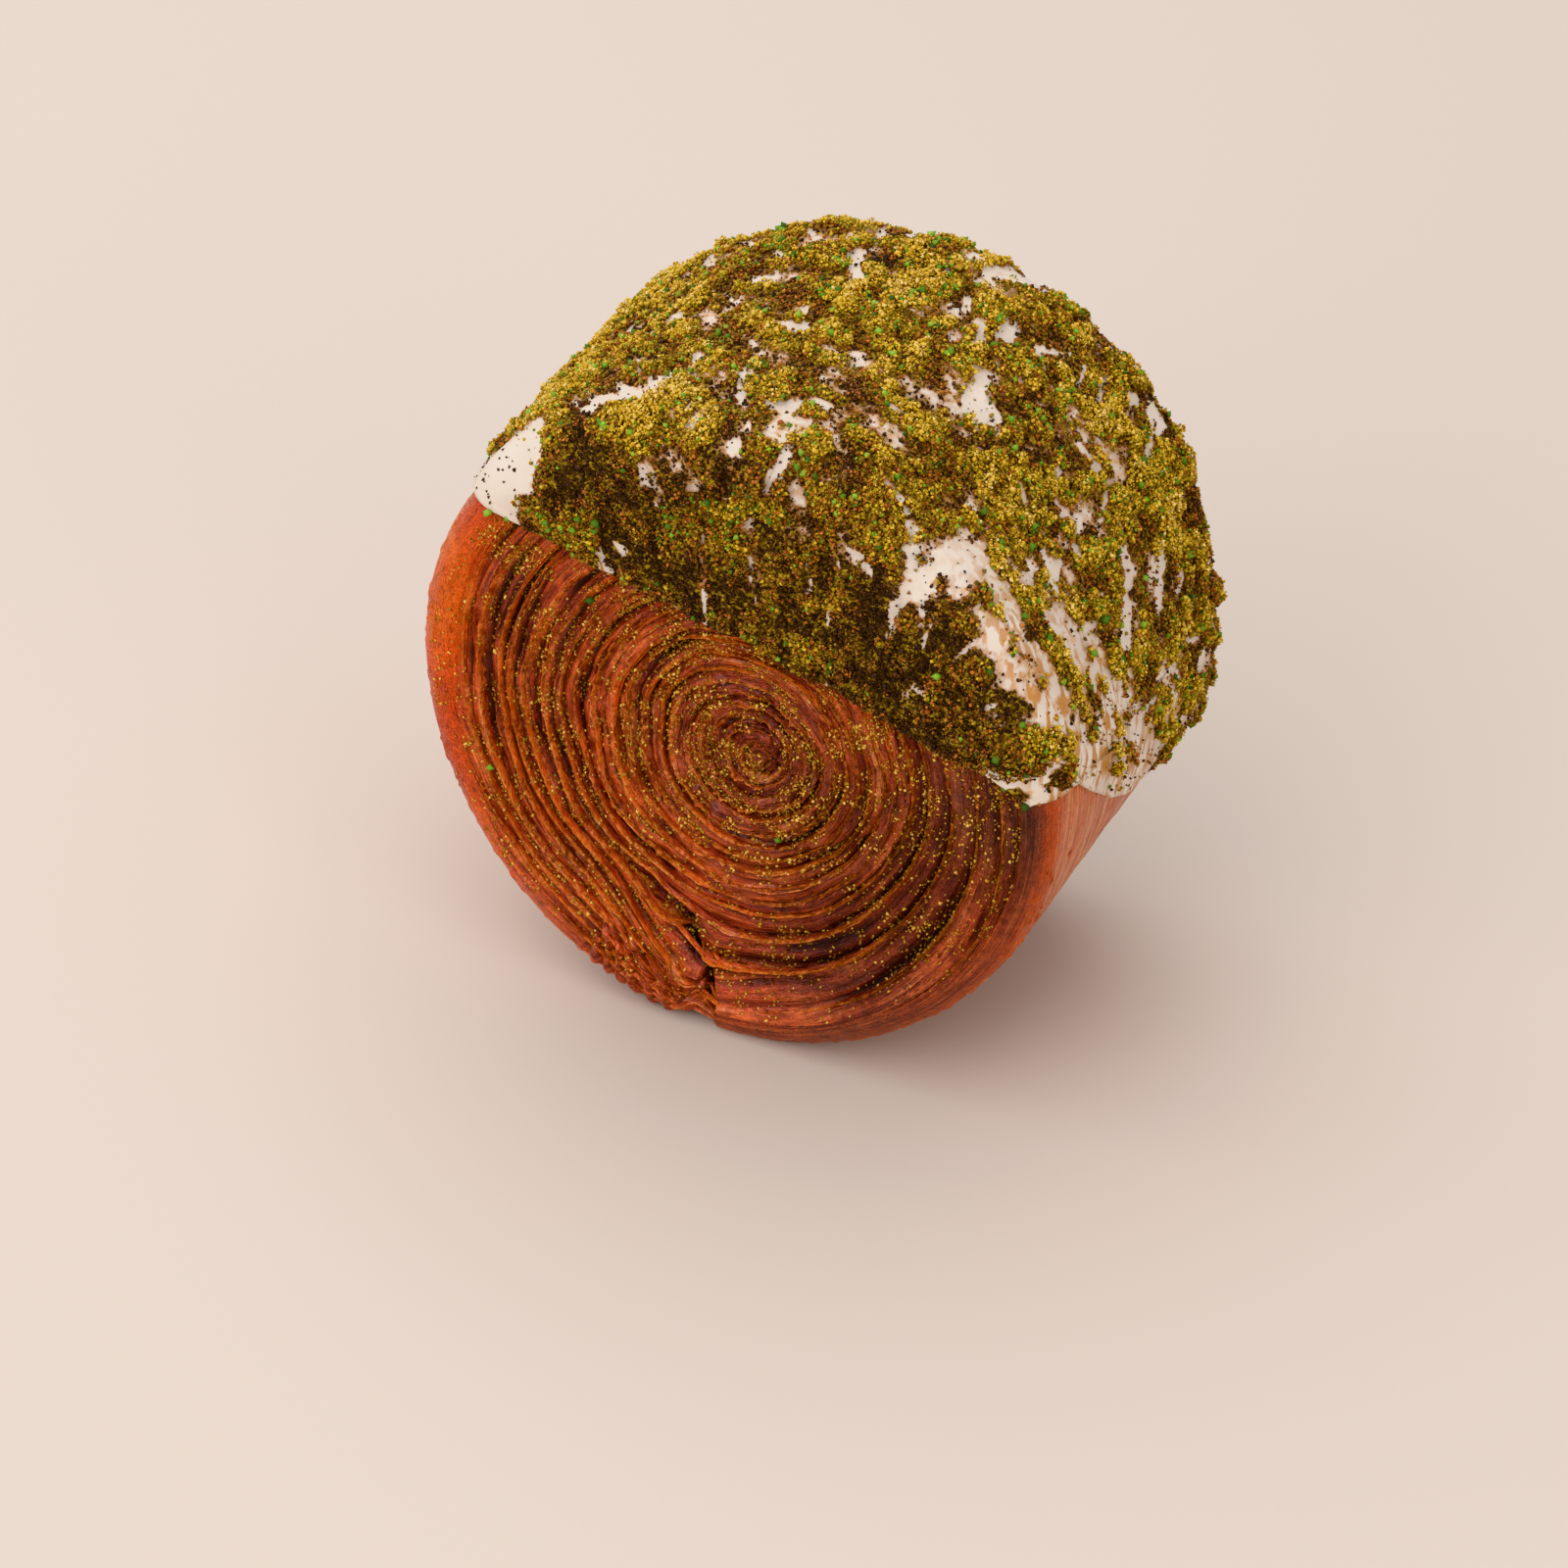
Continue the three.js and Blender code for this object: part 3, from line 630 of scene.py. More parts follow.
# ---- The icing ----
# White icing that the upper half was dipped in. It is a smooth thick coat that thins to a
# rounded, wavy lip with small drips, and it bulges where clumps of nut are stuck to it.
COAT_THICKNESS = 1.7
COAT_EDGE_THICKNESS = 1.0
COAT_EDGE_WIDTH = 5
CLUMP_HEIGHT = 0.9
DIP_HEIGHT = 20.3
DIP_SLOPE_X = -0.265
DIP_SLOPE_Y = -0.43
DIP_WAVE = 0.9
DIP_WAVE_SIZE = 7
SCALLOPS = [
    (-40, -30, 1.7, 5), (-20, -30, 1.2, 2.5), (-13, -30, 1, 2.5), (4, -30, -0.9, 3), (10, -30, 0.8, 2.5),
    (32, -30, 1.2, 3), (49, -29, 2.6, 3), (49, -22, -2.2, 3), (49, 2, 5, 11), (-49, 6, 3, 6),
    (-36, 30, 2, 6), (-12, 30, 3, 5), (10, 30, -2, 8), (30, 30, 2.5, 6)]
COAT_COLUMNS = 270
COAT_ROWS = 128
UNDERSIDE = -0.8  # the coat's hidden side lies in the grooves of the layers
FAN_CENTRE = np.array([0.0, -30.0])  # the coat's columns head for here across the faces
SEARCH_STEP = 0.1
SEARCH_REACH = 95.0


def dip_height(x, y):
    """The height of the icing's lower edge over a place in plan."""
    fall = DIP_SLOPE_X * x + DIP_SLOPE_Y * (y + ROLL_THICKNESS / 2)
    wave = 2 * roughness(np.stack([x, y, 0 * x], -1), DIP_WAVE_SIZE, 60) - 1
    hang = sum(drop * hump(np.hypot(x - over_x, y - over_y), width)
               for over_x, over_y, drop, width in SCALLOPS)
    return DIP_HEIGHT + fall + DIP_WAVE * wave - hang


def coat_base(angle, along):
    """The roll's surface and its normal. along is 0 halfway across the wall and runs over the
    rims to the faces, front negative, where each column heads for the fan's centre."""
    side = np.sign(along)
    reach = np.abs(along) - WALL_REACH / 2
    bend = np.clip(reach / RIM_ROUNDING, 0, math.pi / 2)
    y = np.where(reach < 0, along, side * (WALL_REACH / 2 + RIM_ROUNDING * np.sin(bend)))
    radius = outline_radius(angle, y) - RIM_ROUNDING * (1 - np.cos(bend))
    x, z = radius * np.cos(angle), radius * np.sin(angle)
    inward = np.maximum(0, reach - RIM_ARC)
    to_x, to_z = FAN_CENTRE[0] - x, FAN_CENTRE[1] - z
    length = np.hypot(to_x, to_z)
    x, z = x + to_x / length * inward, z + to_z / length * inward
    normal = np.stack([np.cos(bend) * np.cos(angle), side * np.sin(bend), np.cos(bend) * np.sin(angle)], -1)
    return np.stack([x, y, z], -1), normal


def over_dip(angle, along):
    """How high a place on the roll lies over the icing's edge."""
    point, _ = coat_base(angle, along)
    return point[..., 2] - dip_height(point[..., 0], point[..., 1])


def coat_ends(angles):
    """Where each column of the coat starts on the front and ends at the back."""
    along = np.arange(-SEARCH_REACH, SEARCH_REACH, SEARCH_STEP)[None, :]
    height = over_dip(angles[:, None] + 0 * along, along + 0 * angles[:, None])
    top = height.argmax(1)
    steps = np.arange(along.shape[1])[None, :]
    under = height <= 0
    start = np.where(under & (steps < top[:, None]), steps, -1).max(1)
    end = np.where(under & (steps > top[:, None]), steps, along.shape[1]).min(1)
    rows = np.arange(len(angles))

    def crossing(step):
        step = np.clip(step, 0, along.shape[1] - 2)
        a, b = height[rows, step], height[rows, step + 1]
        return along[0, step] + SEARCH_STEP * a / np.where(a == b, 1, a - b)

    return crossing(start), crossing(end - 1), height.max(1)


# Where the icing shows bare: strokes along the wall, as degrees round and depth, and patches on
# the front and its rim, as across and height. Each starts with its width.
WALL_STROKES = [
    (1.3, (122, -22), (115, -23), (108, -24), (101, -26), (95, -28), (88, -31)),
    (1.3, (89, -21), (82, -18)), (0.9, (99, 0), (94, -3)), (0.9, (77, -11), (70, -12), (66, -13)),
    (1.2, (75, 26), (72, 19), (71, 12), (68, 6), (65, 2), (60, -2)),
    (1.0, (52, -7), (48, -10), (44, -13), (40, -12)), (1.0, (48, -1), (45, -3), (41, -4), (38, -6)),
    (1.0, (56, 31), (54, 26), (52, 20)), (0.8, (48, 8), (45, 7)), (1.8, (42, 24), (40, 31)),
    (1.4, (34, 6), (27, 1), (20, -3)), (1.2, (129, 22), (126, 25)), (1.6, (136, 4), (133, 8)),
    (1.2, (121, -3), (118, -5)), (0.9, (31, -12), (24, -16)), (1.3, (26, 12), (18, 8)),
    (1.0, (95, 19), (92, 9)), (0.9, (85, 17), (82, 15)), (1.6, (146, -12), (142, -4))]
FRONT_STROKES = [
    (6.8, (-45, 23), (-38.5, 30), (-34, 37)), (2.0, (-34, 39), (-26, 45)), (2.0, (-24, 46), (-14, 50)),
    (1.4, (-8, 49), (-2, 48), (3, 49)), (1.7, (6, 49), (7, 43.5), (4, 40)), (1.4, (14, 47), (16, 44)),
    (1.2, (25, 43), (29, 42)), (1.5, (32, 41), (36, 39)), (2.0, (40, 36), (44, 32)), (1.8, (44.5, 30), (45, 26)),
    (1.7, (46, 22), (49, 8)), (1.2, (19, 40), (22, 37)), (1.2, (-16, 30), (-12, 26)),
    (1.9, (39, 11), (44, 10), (49, 11))]
DENSE_PLACES = [
    (-26, -30, 32, 8, 0.4), (-10, -30, 26, 9, 0.35), (32, -30, 14, 9, 0.5), (14, -30, 24, 8, 0.35)]


def ragged(points, size, amount, seed):
    """The places shifted this way and that, so that what is drawn over them has a ragged edge."""
    shift = np.stack([roughness(points, size, seed + n) - 0.5 for n in range(3)], -1)
    return points + 2 * amount * shift


def bare_strokes(points):
    """1 where a stroke or a patch leaves the icing bare."""
    bare = np.zeros(points.shape[:-1])
    for strokes, on_wall in ((WALL_STROKES, True), (FRONT_STROKES, False)):
        for width, *stops in strokes:
            if on_wall:
                stops = [(50.5 * math.cos(math.radians(round_)), deep, 50.5 * math.sin(math.radians(round_)))
                         for round_, deep in stops]
            else:
                stops = [(across, -25.5 - 6 * math.cos(math.asin(min(1, max(
                    0, math.hypot(across, height) - FACE_REACH) / 7))), height) for across, height in stops]
            off = np.min([off_line(points, a, b) for a, b in zip(stops, stops[1:])], 0)
            bare = np.maximum(bare, 1 - ramp(off, 0.55 * width, 1.25 * width))
    return bare


def smeared(points, angle, along):
    """1 at the right, low on the wall, where the icing was wiped and only lines of crumbs stick."""
    wall = 1 - ramp(np.abs(along), WALL_REACH / 2 + 3, WALL_REACH / 2 + RIM_ARC)
    reach = 11 + 15 * ramp(-points[..., 1], -8, 24)
    low = 1 - ramp(over_dip(angle, along) + 9 * (roughness(points, 5, 46) - 0.5), 0.6 * reach, 1.4 * reach)
    return wall * low * (1 - ramp(np.abs(angle), 0.7, 1.1)) * (1 - ramp(points[..., 1], 8, 26))


def clumped(points):
    """1 on the clumps that the crumbs make, and 0 in the hollows between them."""
    shaken = ragged(points, 1.6, 0.6, 70)
    return ramp(0.65 * roughness(shaken, 2.5, 73) + 0.35 * roughness(shaken, 5.5, 74), 0.36, 0.62)


def nut_cover(points, angle, along):
    """How thickly ground nut covers a place, from 0, bare icing, to 1."""
    shaken = ragged(ragged(points, 3.2, 1.5, 31), 1.1, 0.75, 34)
    cover = 0.63 + 0.6 * (roughness(points, 5.5, 37) - 0.5) + 0.5 * (roughness(points, 1.9, 38) - 0.5)
    cover = cover + 0.2 * (clumped(points) - 0.5)
    drawn = np.stack([angle * ROLL_RADIUS / 2.4, shaken[..., 1] + 0.7 * shaken[..., 0], 0 * angle], -1)
    cracks = 1 - ramp(np.abs(roughness(drawn, 4.0, 39) - 0.5), 0.015, 0.06)
    cover = cover - 0.9 * cracks * ramp(roughness(points, 8, 40), 0.4, 0.56)
    for x, y, z, size, strength in DENSE_PLACES:
        cover = cover + strength * hump(np.linalg.norm(points - (x, y, z), axis=-1), size)
    cover = cover - 1.1 * bare_strokes(shaken)
    wiped = smeared(points, angle, along)
    lines = roughness(np.stack([angle * ROLL_RADIUS / 5, shaken[..., 1], 0 * angle], -1), 1.5, 35)
    cover = cover - wiped * (1 - ramp(lines, 0.47, 0.68))
    edge = over_dip(angle, along)
    wall = 1 - ramp(np.abs(along), WALL_REACH / 2, WALL_REACH / 2 + RIM_ARC)
    cover = cover - 0.8 * wall * (1 - ramp(edge, 0.5, 4.5)) - 0.25 * (1 - ramp(edge, 0.0, 1.2))
    return np.clip(cover, 0, 1)


def coat_height(points, angle, along):
    """How high the coat stands over the roll."""
    share = ramp(over_dip(angle, along), 0, COAT_EDGE_WIDTH)
    cover = nut_cover(points, angle, along)
    swell = COAT_THICKNESS + 0.5 * (roughness(points, 8, 41) - 0.5)
    clumps = CLUMP_HEIGHT * ramp(cover, 0.25, 0.7) * (0.1 + clumped(points))
    return blend(COAT_EDGE_THICKNESS, swell, share) + clumps * ramp(share, 0, 0.4), cover


# The lip: how far out from the edge and how high each of its rows lies
LIP_ROWS = [(-0.7, -0.8), (0.05, -0.35), (0.38, 0.2), (0.34, 0.72), (-0.05, 1.08)]
LIP_END = 1.1  # where the plain rows start, in from the edge

ends_searched = np.radians(np.linspace(-60, 220, 2801))
_, _, highest = coat_ends(ends_searched)
coated = ends_searched[highest > 0.35]
coat_angles = np.linspace(coated.min(), coated.max(), COAT_COLUMNS + 1)
coat_start, coat_end, _ = coat_ends(coat_angles)


def lip(angle, along):
    """The rows of the lip at one end of each column."""
    point, normal = coat_base(angle, along)
    down = np.array([0.0, 0, -1]) - normal * -normal[..., 2:3]
    down = down / np.maximum(np.linalg.norm(down, axis=-1, keepdims=True), 1e-6)
    fat = 1 + 0.35 * noise(angle * 24, seed=45)[:, None]
    return np.stack([point + down * out * fat + normal * height * np.where(height > 0, fat, 1)
                     for out, height in LIP_ROWS], 1)


def coat_rows():
    """The points round each column of the coat: front lip, outside, back lip and underside."""
    inner_start = coat_start + LIP_END
    inner_end = coat_end - LIP_END
    squeezed = inner_start > inner_end
    centre = (inner_start + inner_end) / 2
    inner_start = np.where(squeezed, centre, inner_start)
    inner_end = np.where(squeezed, centre, inner_end)
    across = np.linspace(0, 1, COAT_ROWS + 1)[None, :]
    along = inner_start[:, None] + (inner_end - inner_start)[:, None] * across
    angle = coat_angles[:, None] + 0 * along
    point, normal = coat_base(angle, along)
    height, cover = coat_height(point, angle, along)
    outside = point + normal * height[..., None]
    front = lip(coat_angles, coat_start)
    back = lip(coat_angles, coat_end)[:, ::-1]
    inside = (point + normal * UNDERSIDE)[:, ::-1]
    bare = np.zeros((len(coat_angles), len(LIP_ROWS)))
    under = 0.9 * ramp(np.arange(len(LIP_ROWS)), 0, 3)[None, :]
    points = np.concatenate([front, outside, back, inside, front[:, :1]], 1)
    covers = np.concatenate([
        cover[:, :1] * under, cover, cover[:, -1:] * under[:, ::-1], 0 * cover, bare[:, :1]], 1)
    wiped = smeared(point, angle, along)
    smears = np.concatenate([bare + wiped[:, :1], wiped, bare, 0 * cover, bare[:, :1]], 1)
    return points, {"cover": covers, "smear": smears}, (angle, along, outside, normal, cover)


coat_points, coat_values, coat_outside = coat_rows()
coat = bmesh.new()
for layer_name in coat_values:
    coat.verts.layers.float.new(layer_name)
add_sheet(coat, coat_points, coat_values)
bmesh.ops.remove_doubles(coat, verts=coat.verts, dist=1e-6)
open_edges = [e for e in coat.edges if e.is_boundary]
bmesh.ops.holes_fill(coat, edges=open_edges, sides=0)
bmesh.ops.recalc_face_normals(coat, faces=coat.faces)
icing = piece_from(coat, "icing_coat", "icing")


def white_icing():
    """White icing, tinted by what sticks to it, with streaks where it was wiped, and a bed of crumb colours under
    the grains that darkens as painted shade between them.
    """
    material, tree, shader, add = nodes_of("white_icing")
    place = add("ShaderNodeTexCoord").outputs["Object"]
    cover, smear = (
        add("ShaderNodeAttribute", attribute_name=name).outputs["Fac"] for name in ("cover", "smear"))
    speck = noise_node(add, place, 900.0)
    soft = noise_node(add, place, 90.0, 3.0)
    drawn = add("ShaderNodeMapping", [("Vector", place), ("Scale", (1, 1, 0.2))]).outputs["Vector"]
    drawn_out = noise_node(add, drawn, 850.0, 3.0)
    white = colour_ramp(add, soft, [(0.3, colour(196, 182, 168)), (0.7, colour(214, 203, 190))])
    tinted = colour_ramp(add, speck, [(0.35, colour(150, 94, 50)), (0.65, colour(202, 162, 122))])
    cells = add("ShaderNodeTexVoronoi", [("Vector", place), ("Scale", 2300.0)])
    tone = add("ShaderNodeSeparateColor", [("Color", cells.outputs["Color"])]).outputs["Red"]
    # Crumb colour and painted shade: where nut covers the icing, the bed between the grains runs in tones down to
    # near black, as the shade in the hollows.
    crumb_bed_and_shade = colour_ramp(add, tone, [
        (0.0, colour(36, 22, 10)), (0.35, colour(84, 54, 20)), (0.65, colour(124, 96, 28)),
        (1.0, colour(186, 156, 54))])

    def between(value, start, end):
        return add("ShaderNodeMapRange", [("Value", value), ("From Min", start), ("From Max", end)]).outputs[0]

    streak = between(drawn_out, 0.47, 0.57)
    streak = add("ShaderNodeMath", [(0, streak), (1, smear)], operation="MULTIPLY").outputs[0]
    base = mixed(add, streak, white, colour(178, 126, 70))
    summed = add("ShaderNodeMath", [(0, cover), (1, speck)], operation="ADD").outputs[0]
    base = mixed(add, between(summed, 0.72, 0.95), base, tinted)
    covered = between(summed, 0.92, 1.08)
    tree.links.new(mixed(add, covered, base, crumb_bed_and_shade), shader.inputs["Base Color"])
    rough = add("ShaderNodeMapRange", [("Value", covered), ("To Min", 0.35), ("To Max", 0.9)]).outputs[0]
    tree.links.new(rough, shader.inputs["Roughness"])
    shader.inputs["Subsurface Weight"].default_value = 0.15
    shader.inputs["Subsurface Radius"].default_value = (0.003, 0.0025, 0.002)
    pits = add("ShaderNodeMath", [(0, cells.outputs["Distance"]), (1, covered)], operation="MULTIPLY").outputs[0]
    bump = add("ShaderNodeBump", [("Height", pits), ("Strength", 1.0), ("Distance", 0.0005)], invert=True)
    tree.links.new(bump.outputs["Normal"], shader.inputs["Normal"])
    return material


icing.data.materials.append(white_icing())


# ---- The ground nut ----
# Pistachio ground to crumbs of half a millimetre or less, with a few larger bits. It was sprinkled
# over the wet icing and sticks in mossy clumps. Each kind of grain is one joined mesh, with a map
# that gives every grain a spot of its own.
GRAIN_DRAWS = np.random.default_rng(7)
OCTAHEDRON = np.array([[1, 0, 0], [-1, 0, 0], [0, 1, 0], [0, -1, 0], [0, 0, 1], [0, 0, -1]], float)
OCTAHEDRON_FACES = np.array([
    [0, 2, 4], [2, 1, 4], [1, 3, 4], [3, 0, 4], [2, 0, 5], [1, 2, 5], [3, 1, 5], [0, 3, 5]])
TETRAHEDRON = np.array([[1, 1, 1], [1, -1, -1], [-1, 1, -1], [-1, -1, 1]], float) / 1.3
TETRAHEDRON_FACES = np.array([[0, 1, 2], [0, 3, 1], [0, 2, 3], [1, 3, 2]])


def turned(count, draws):
    """Random turns, as a matrix for each grain."""
    q = draws.normal(size=(count, 4))
    q /= np.linalg.norm(q, axis=1, keepdims=True)
    w, x, y, z = q.T
    return np.stack([
        np.stack([1 - 2 * (y * y + z * z), 2 * (x * y - z * w), 2 * (x * z + y * w)], -1),
        np.stack([2 * (x * y + z * w), 1 - 2 * (x * x + z * z), 2 * (y * z - x * w)], -1),
        np.stack([2 * (x * z - y * w), 2 * (y * z + x * w), 1 - 2 * (x * x + y * y)], -1)], 1)


def grain_mesh(places, sizes, draws, whole, faces):
    """Corners and faces of many broken grains, no two alike."""
    count = len(places)
    corners = whole[None] * draws.uniform(0.65, 1.3, (count, len(whole), 1))
    corners = corners * draws.uniform(0.7, 1.25, (count, 1, 3))
    corners = np.einsum("nij,nkj->nki", turned(count, draws), corners)
    corners = corners * sizes[:, None, None] / 2 + places[:, None]
    joined = faces[None] + (np.arange(count) * len(whole))[:, None, None]
    return corners.reshape(-1, 3), joined.reshape(-1, 3)


def scattered(name, lots, draws):
    """One piece from lots of grains, each with a tone that its finish reads."""
    corners, faces, tones, owners = [], [], [], []
    for places, sizes, whole, whole_faces in lots:
        lot_corners, lot_faces = grain_mesh(places, sizes, draws, whole, whole_faces)
        faces.append(lot_faces + sum(len(c) for c in corners))
        owners.append(np.repeat(np.arange(len(places)), len(whole_faces)) + sum(len(t) for t in tones))
        corners.append(lot_corners)
        tones.append(draws.uniform(0, 1, len(places)))
    of_corner = np.concatenate([np.repeat(t, len(lot[2])) for t, lot in zip(tones, lots)])
    corners, faces, owners = np.concatenate(corners), np.concatenate(faces), np.concatenate(owners)
    mesh = bpy.data.meshes.new(name)
    mesh.vertices.add(len(corners))
    mesh.loops.add(3 * len(faces))
    mesh.polygons.add(len(faces))
    mesh.vertices.foreach_set("co", ((corners + ROLL_AXIS) / 1000).ravel())
    mesh.loops.foreach_set("vertex_index", faces.ravel())
    mesh.polygons.foreach_set("loop_start", np.arange(0, 3 * len(faces), 3))
    mesh.update(calc_edges=True)
    mesh.attributes.new("tone", "FLOAT", "POINT").data.foreach_set("value", of_corner)
    cells = math.ceil(math.sqrt(owners.max() + 1))
    spots = np.stack([owners % cells, owners // cells], -1)[:, None] + np.array([[0.2, 0.2], [0.8, 0.2], [0.2, 0.8]])
    mesh.uv_layers.new(name="OFBake").data.foreach_set("uv", (spots / cells).ravel())
    piece = bpy.data.objects.new(name, mesh)
    bpy.context.scene.collection.objects.link(piece)
    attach(piece, "root")
    return piece


def nut_finish(name, dark, plain, light, rough=0.75):
    material, tree, shader, add = nodes_of(name)
    tone = add("ShaderNodeAttribute", attribute_name="tone").outputs["Fac"]
    shade = colour_ramp(add, tone, [(0.0, dark), (0.5, plain), (1.0, light)])
    tree.links.new(shade, shader.inputs["Base Color"])
    shader.inputs["Roughness"].default_value = rough
    return material


def samples(fields, count, draws, weight=1.0):
    """Random places on a strip of points, even over its area, or by weight, and what lies there."""
    points = fields[0]
    a, b, c, d = points[:-1, :-1], points[1:, :-1], points[:-1, 1:], points[1:, 1:]
    area = (np.linalg.norm(np.cross(d - a, c - b), axis=-1) * weight).ravel()
    cell = draws.choice(area.size, count, p=area / area.sum())
    i, j = np.unravel_index(cell, a.shape[:2])
    s, t = draws.uniform(0, 1, (2, count))
    found = []
    for values in fields:
        s_, t_ = (s[:, None], t[:, None]) if values.ndim == 3 else (s, t)
        near = blend(values[i, j], values[i + 1, j], s_)
        far = blend(values[i, j + 1], values[i + 1, j + 1], s_)
        found.append(blend(near, far, t_))
    return found


# From the darkest, which go deep in the clumps and on the front as painted shade, to the palest,
# on their tips as painted light: how large a share, how much larger than the rest, and the dark, plain and light
# colours
NUT_KINDS = {
    "nut_dark": (0.18, 1.0, colour(34, 20, 12), colour(58, 36, 20), colour(88, 58, 30)),
    "nut_brown": (0.18, 1.0, colour(100, 56, 24), colour(148, 88, 38), colour(186, 120, 58)),
    "nut_moss": (0.18, 1.0, colour(88, 72, 22), colour(130, 107, 32), colour(158, 134, 46)),
    "nut_russet": (0.03, 1.1, colour(106, 50, 24), colour(154, 82, 40), colour(184, 112, 62)),
    "nut_green": (0.02, 1.9, colour(48, 76, 28), colour(90, 128, 36), colour(130, 168, 62)),
    "nut_olive": (0.19, 1.0, colour(140, 112, 28), colour(176, 144, 40), colour(204, 171, 58)),
    "nut_gold": (0.17, 1.0, colour(176, 138, 44), colour(208, 168, 58), colour(226, 190, 82)),
    "nut_pale": (0.05, 0.9, colour(202, 168, 84), colour(220, 188, 104), colour(234, 208, 134)),
}
LARGE_GREENS = [
    (-36, 28), (-33, 28), (42.6, 8.2), (45.9, 6.4), (-35, -14.5), (9.8, -11.8), (-20, 18.6),
    (-4, 21.5), (9, 19)]
CLUMPED_TRIES = 15000
CARPET_TRIES = 88000
GRAIN_COUNT = 168000

outside_fields = (coat_outside[2], coat_outside[0], coat_outside[1], coat_outside[3])


def sown(tries, sparse, stray):
    """Places on the icing where nut sticks, with the way out, and how it lies there."""
    place, angle, along, normal = samples(outside_fields, tries, GRAIN_DRAWS)
    base = coat_base(angle, along)[0]
    cover, edge, clump = nut_cover(base, angle, along), over_dip(angle, along), clumped(base)
    front = ramp(-along, WALL_REACH / 2, WALL_REACH / 2 + RIM_ARC)
    likely = ramp(cover, 0.25, 0.6) * blend(sparse, 1, clump) + stray
    kept = (GRAIN_DRAWS.uniform(0, 1, tries) < likely) & (edge > 0.15)
    place[:, 2] -= 1.2 * GRAIN_DRAWS.uniform(0, 1, tries) * front * (edge < 3)
    return [values[kept] for values in (place, normal, cover, edge, clump, front)]


# Some grains lie singly, as a carpet, and the rest in clumps, each round a heart.
single = sown(CARPET_TRIES, 0.85, 0.05)
hearts = sown(CLUMPED_TRIES, 0.6, 0.01)
single_count = len(single[0])
heart, normal, cover, edge, clump, front = hearts
lump = np.clip(np.exp(GRAIN_DRAWS.normal(-0.5, 0.42, len(heart))), 0.2, 1.25)
lump = np.minimum(lump * blend(0.3, 1.0, ramp(cover, 0.15, 0.7)), 0.4 + 0.6 * edge)
tall = GRAIN_DRAWS.uniform(0.4, 1.1, len(heart)) * blend(0.6, 1.15, clump)
weight = lump ** 1.8
owner = GRAIN_DRAWS.choice(len(heart), GRAIN_COUNT - single_count, p=weight / weight.sum())
off = GRAIN_DRAWS.normal(size=(len(owner), 3))
off /= np.linalg.norm(off, axis=1, keepdims=True)
off *= GRAIN_DRAWS.uniform(0.3, 1, len(owner))[:, None] ** 0.4
rise = (off * normal[owner]).sum(1)
level = np.abs(rise)
off = (off + normal[owner] * (tall[owner] * level - rise)[:, None]) * lump[owner, None]
spot = np.concatenate([
    single[0] + single[1] * GRAIN_DRAWS.uniform(-0.05, 0.3, single_count)[:, None], heart[owner] + off])
cover, clump, front = (
    np.concatenate([one, many[owner]]) for one, many in zip((single[2], *single[4:]), (cover, clump, front)))
height = np.concatenate([0.3 * GRAIN_DRAWS.uniform(0, 1, single_count), level * tall[owner]])
sizes = 0.3 + 0.5 * GRAIN_DRAWS.uniform(0, 1, GRAIN_COUNT) ** 3
# Painted shade: grains low in a clump, in the hollows, on the shaded front and in a dark clump at the front right
# take the darker kinds, and those high on the clumps the paler ones; shade also holds a patchy tone that varies at
# random.
shade = roughness(spot, 6, 78) - 0.5 - 0.6 * hump(np.linalg.norm(spot - (32, -31, 14), axis=1), 9)
score = 0.45 * GRAIN_DRAWS.uniform(0, 1, GRAIN_COUNT) + 0.32 * height + 0.4 * clump - 0.34 * front
score = score + 0.5 * shade - 0.2 * hump(cover - 0.35, 0.12)
rank = score.argsort().argsort() / GRAIN_COUNT
fallen = np.array([(x, -31 - (z > dip_height(x, -30)), z) for x, z in LARGE_GREENS])
start = 0
for nut_name, (share, growth, dark, plain, light) in NUT_KINDS.items():
    chosen = (rank >= start) & (rank < start + share)
    start += share
    large = chosen & (sizes * growth > 0.5)
    little = chosen & ~large
    lots = [(spot[large], growth * sizes[large], OCTAHEDRON, OCTAHEDRON_FACES),
            (spot[little], growth * sizes[little], TETRAHEDRON, TETRAHEDRON_FACES)]
    if nut_name == "nut_green":
        lots.append((fallen, np.full(len(fallen), 1.3), OCTAHEDRON, OCTAHEDRON_FACES))
    nut = scattered(nut_name, lots, GRAIN_DRAWS)
    nut.data.materials.append(nut_finish(nut_name, dark, plain, light))


# ---- The dust ----
# The finest of the ground nut, which fell on the open sides and lodged in the gaps.
DUST_TRIES = 86000
DUST_TRIES_BACK = 22000


def dust(sheet, count, draws):
    """Places of grains on an open side, most in the middle, near the icing and on the crests."""
    points, values = sheet
    spot, winding, edge = samples((points, values["winding"], values["edge"]), count, draws)
    x, z = spot[:, 0], spot[:, 2]
    thick = 0.1 + 0.4 * hump(np.hypot(x - 7, z - 1), 13) + 0.4 * roughness(spot, 4, 61) ** 2
    thick = thick + 0.5 * hump(z - dip_height(x, spot[:, 1]), 6) + 0.35 * edge
    thick = thick * (1 - 0.8 * hump(np.hypot(x - 22, z + 38), 11)) * ramp(roughness(spot, 2.5, 62), 0.25, 0.6)
    kept = (draws.uniform(0, 1, count) < thick) & (np.hypot(x, z) < FACE_REACH + 1)
    return spot[kept]


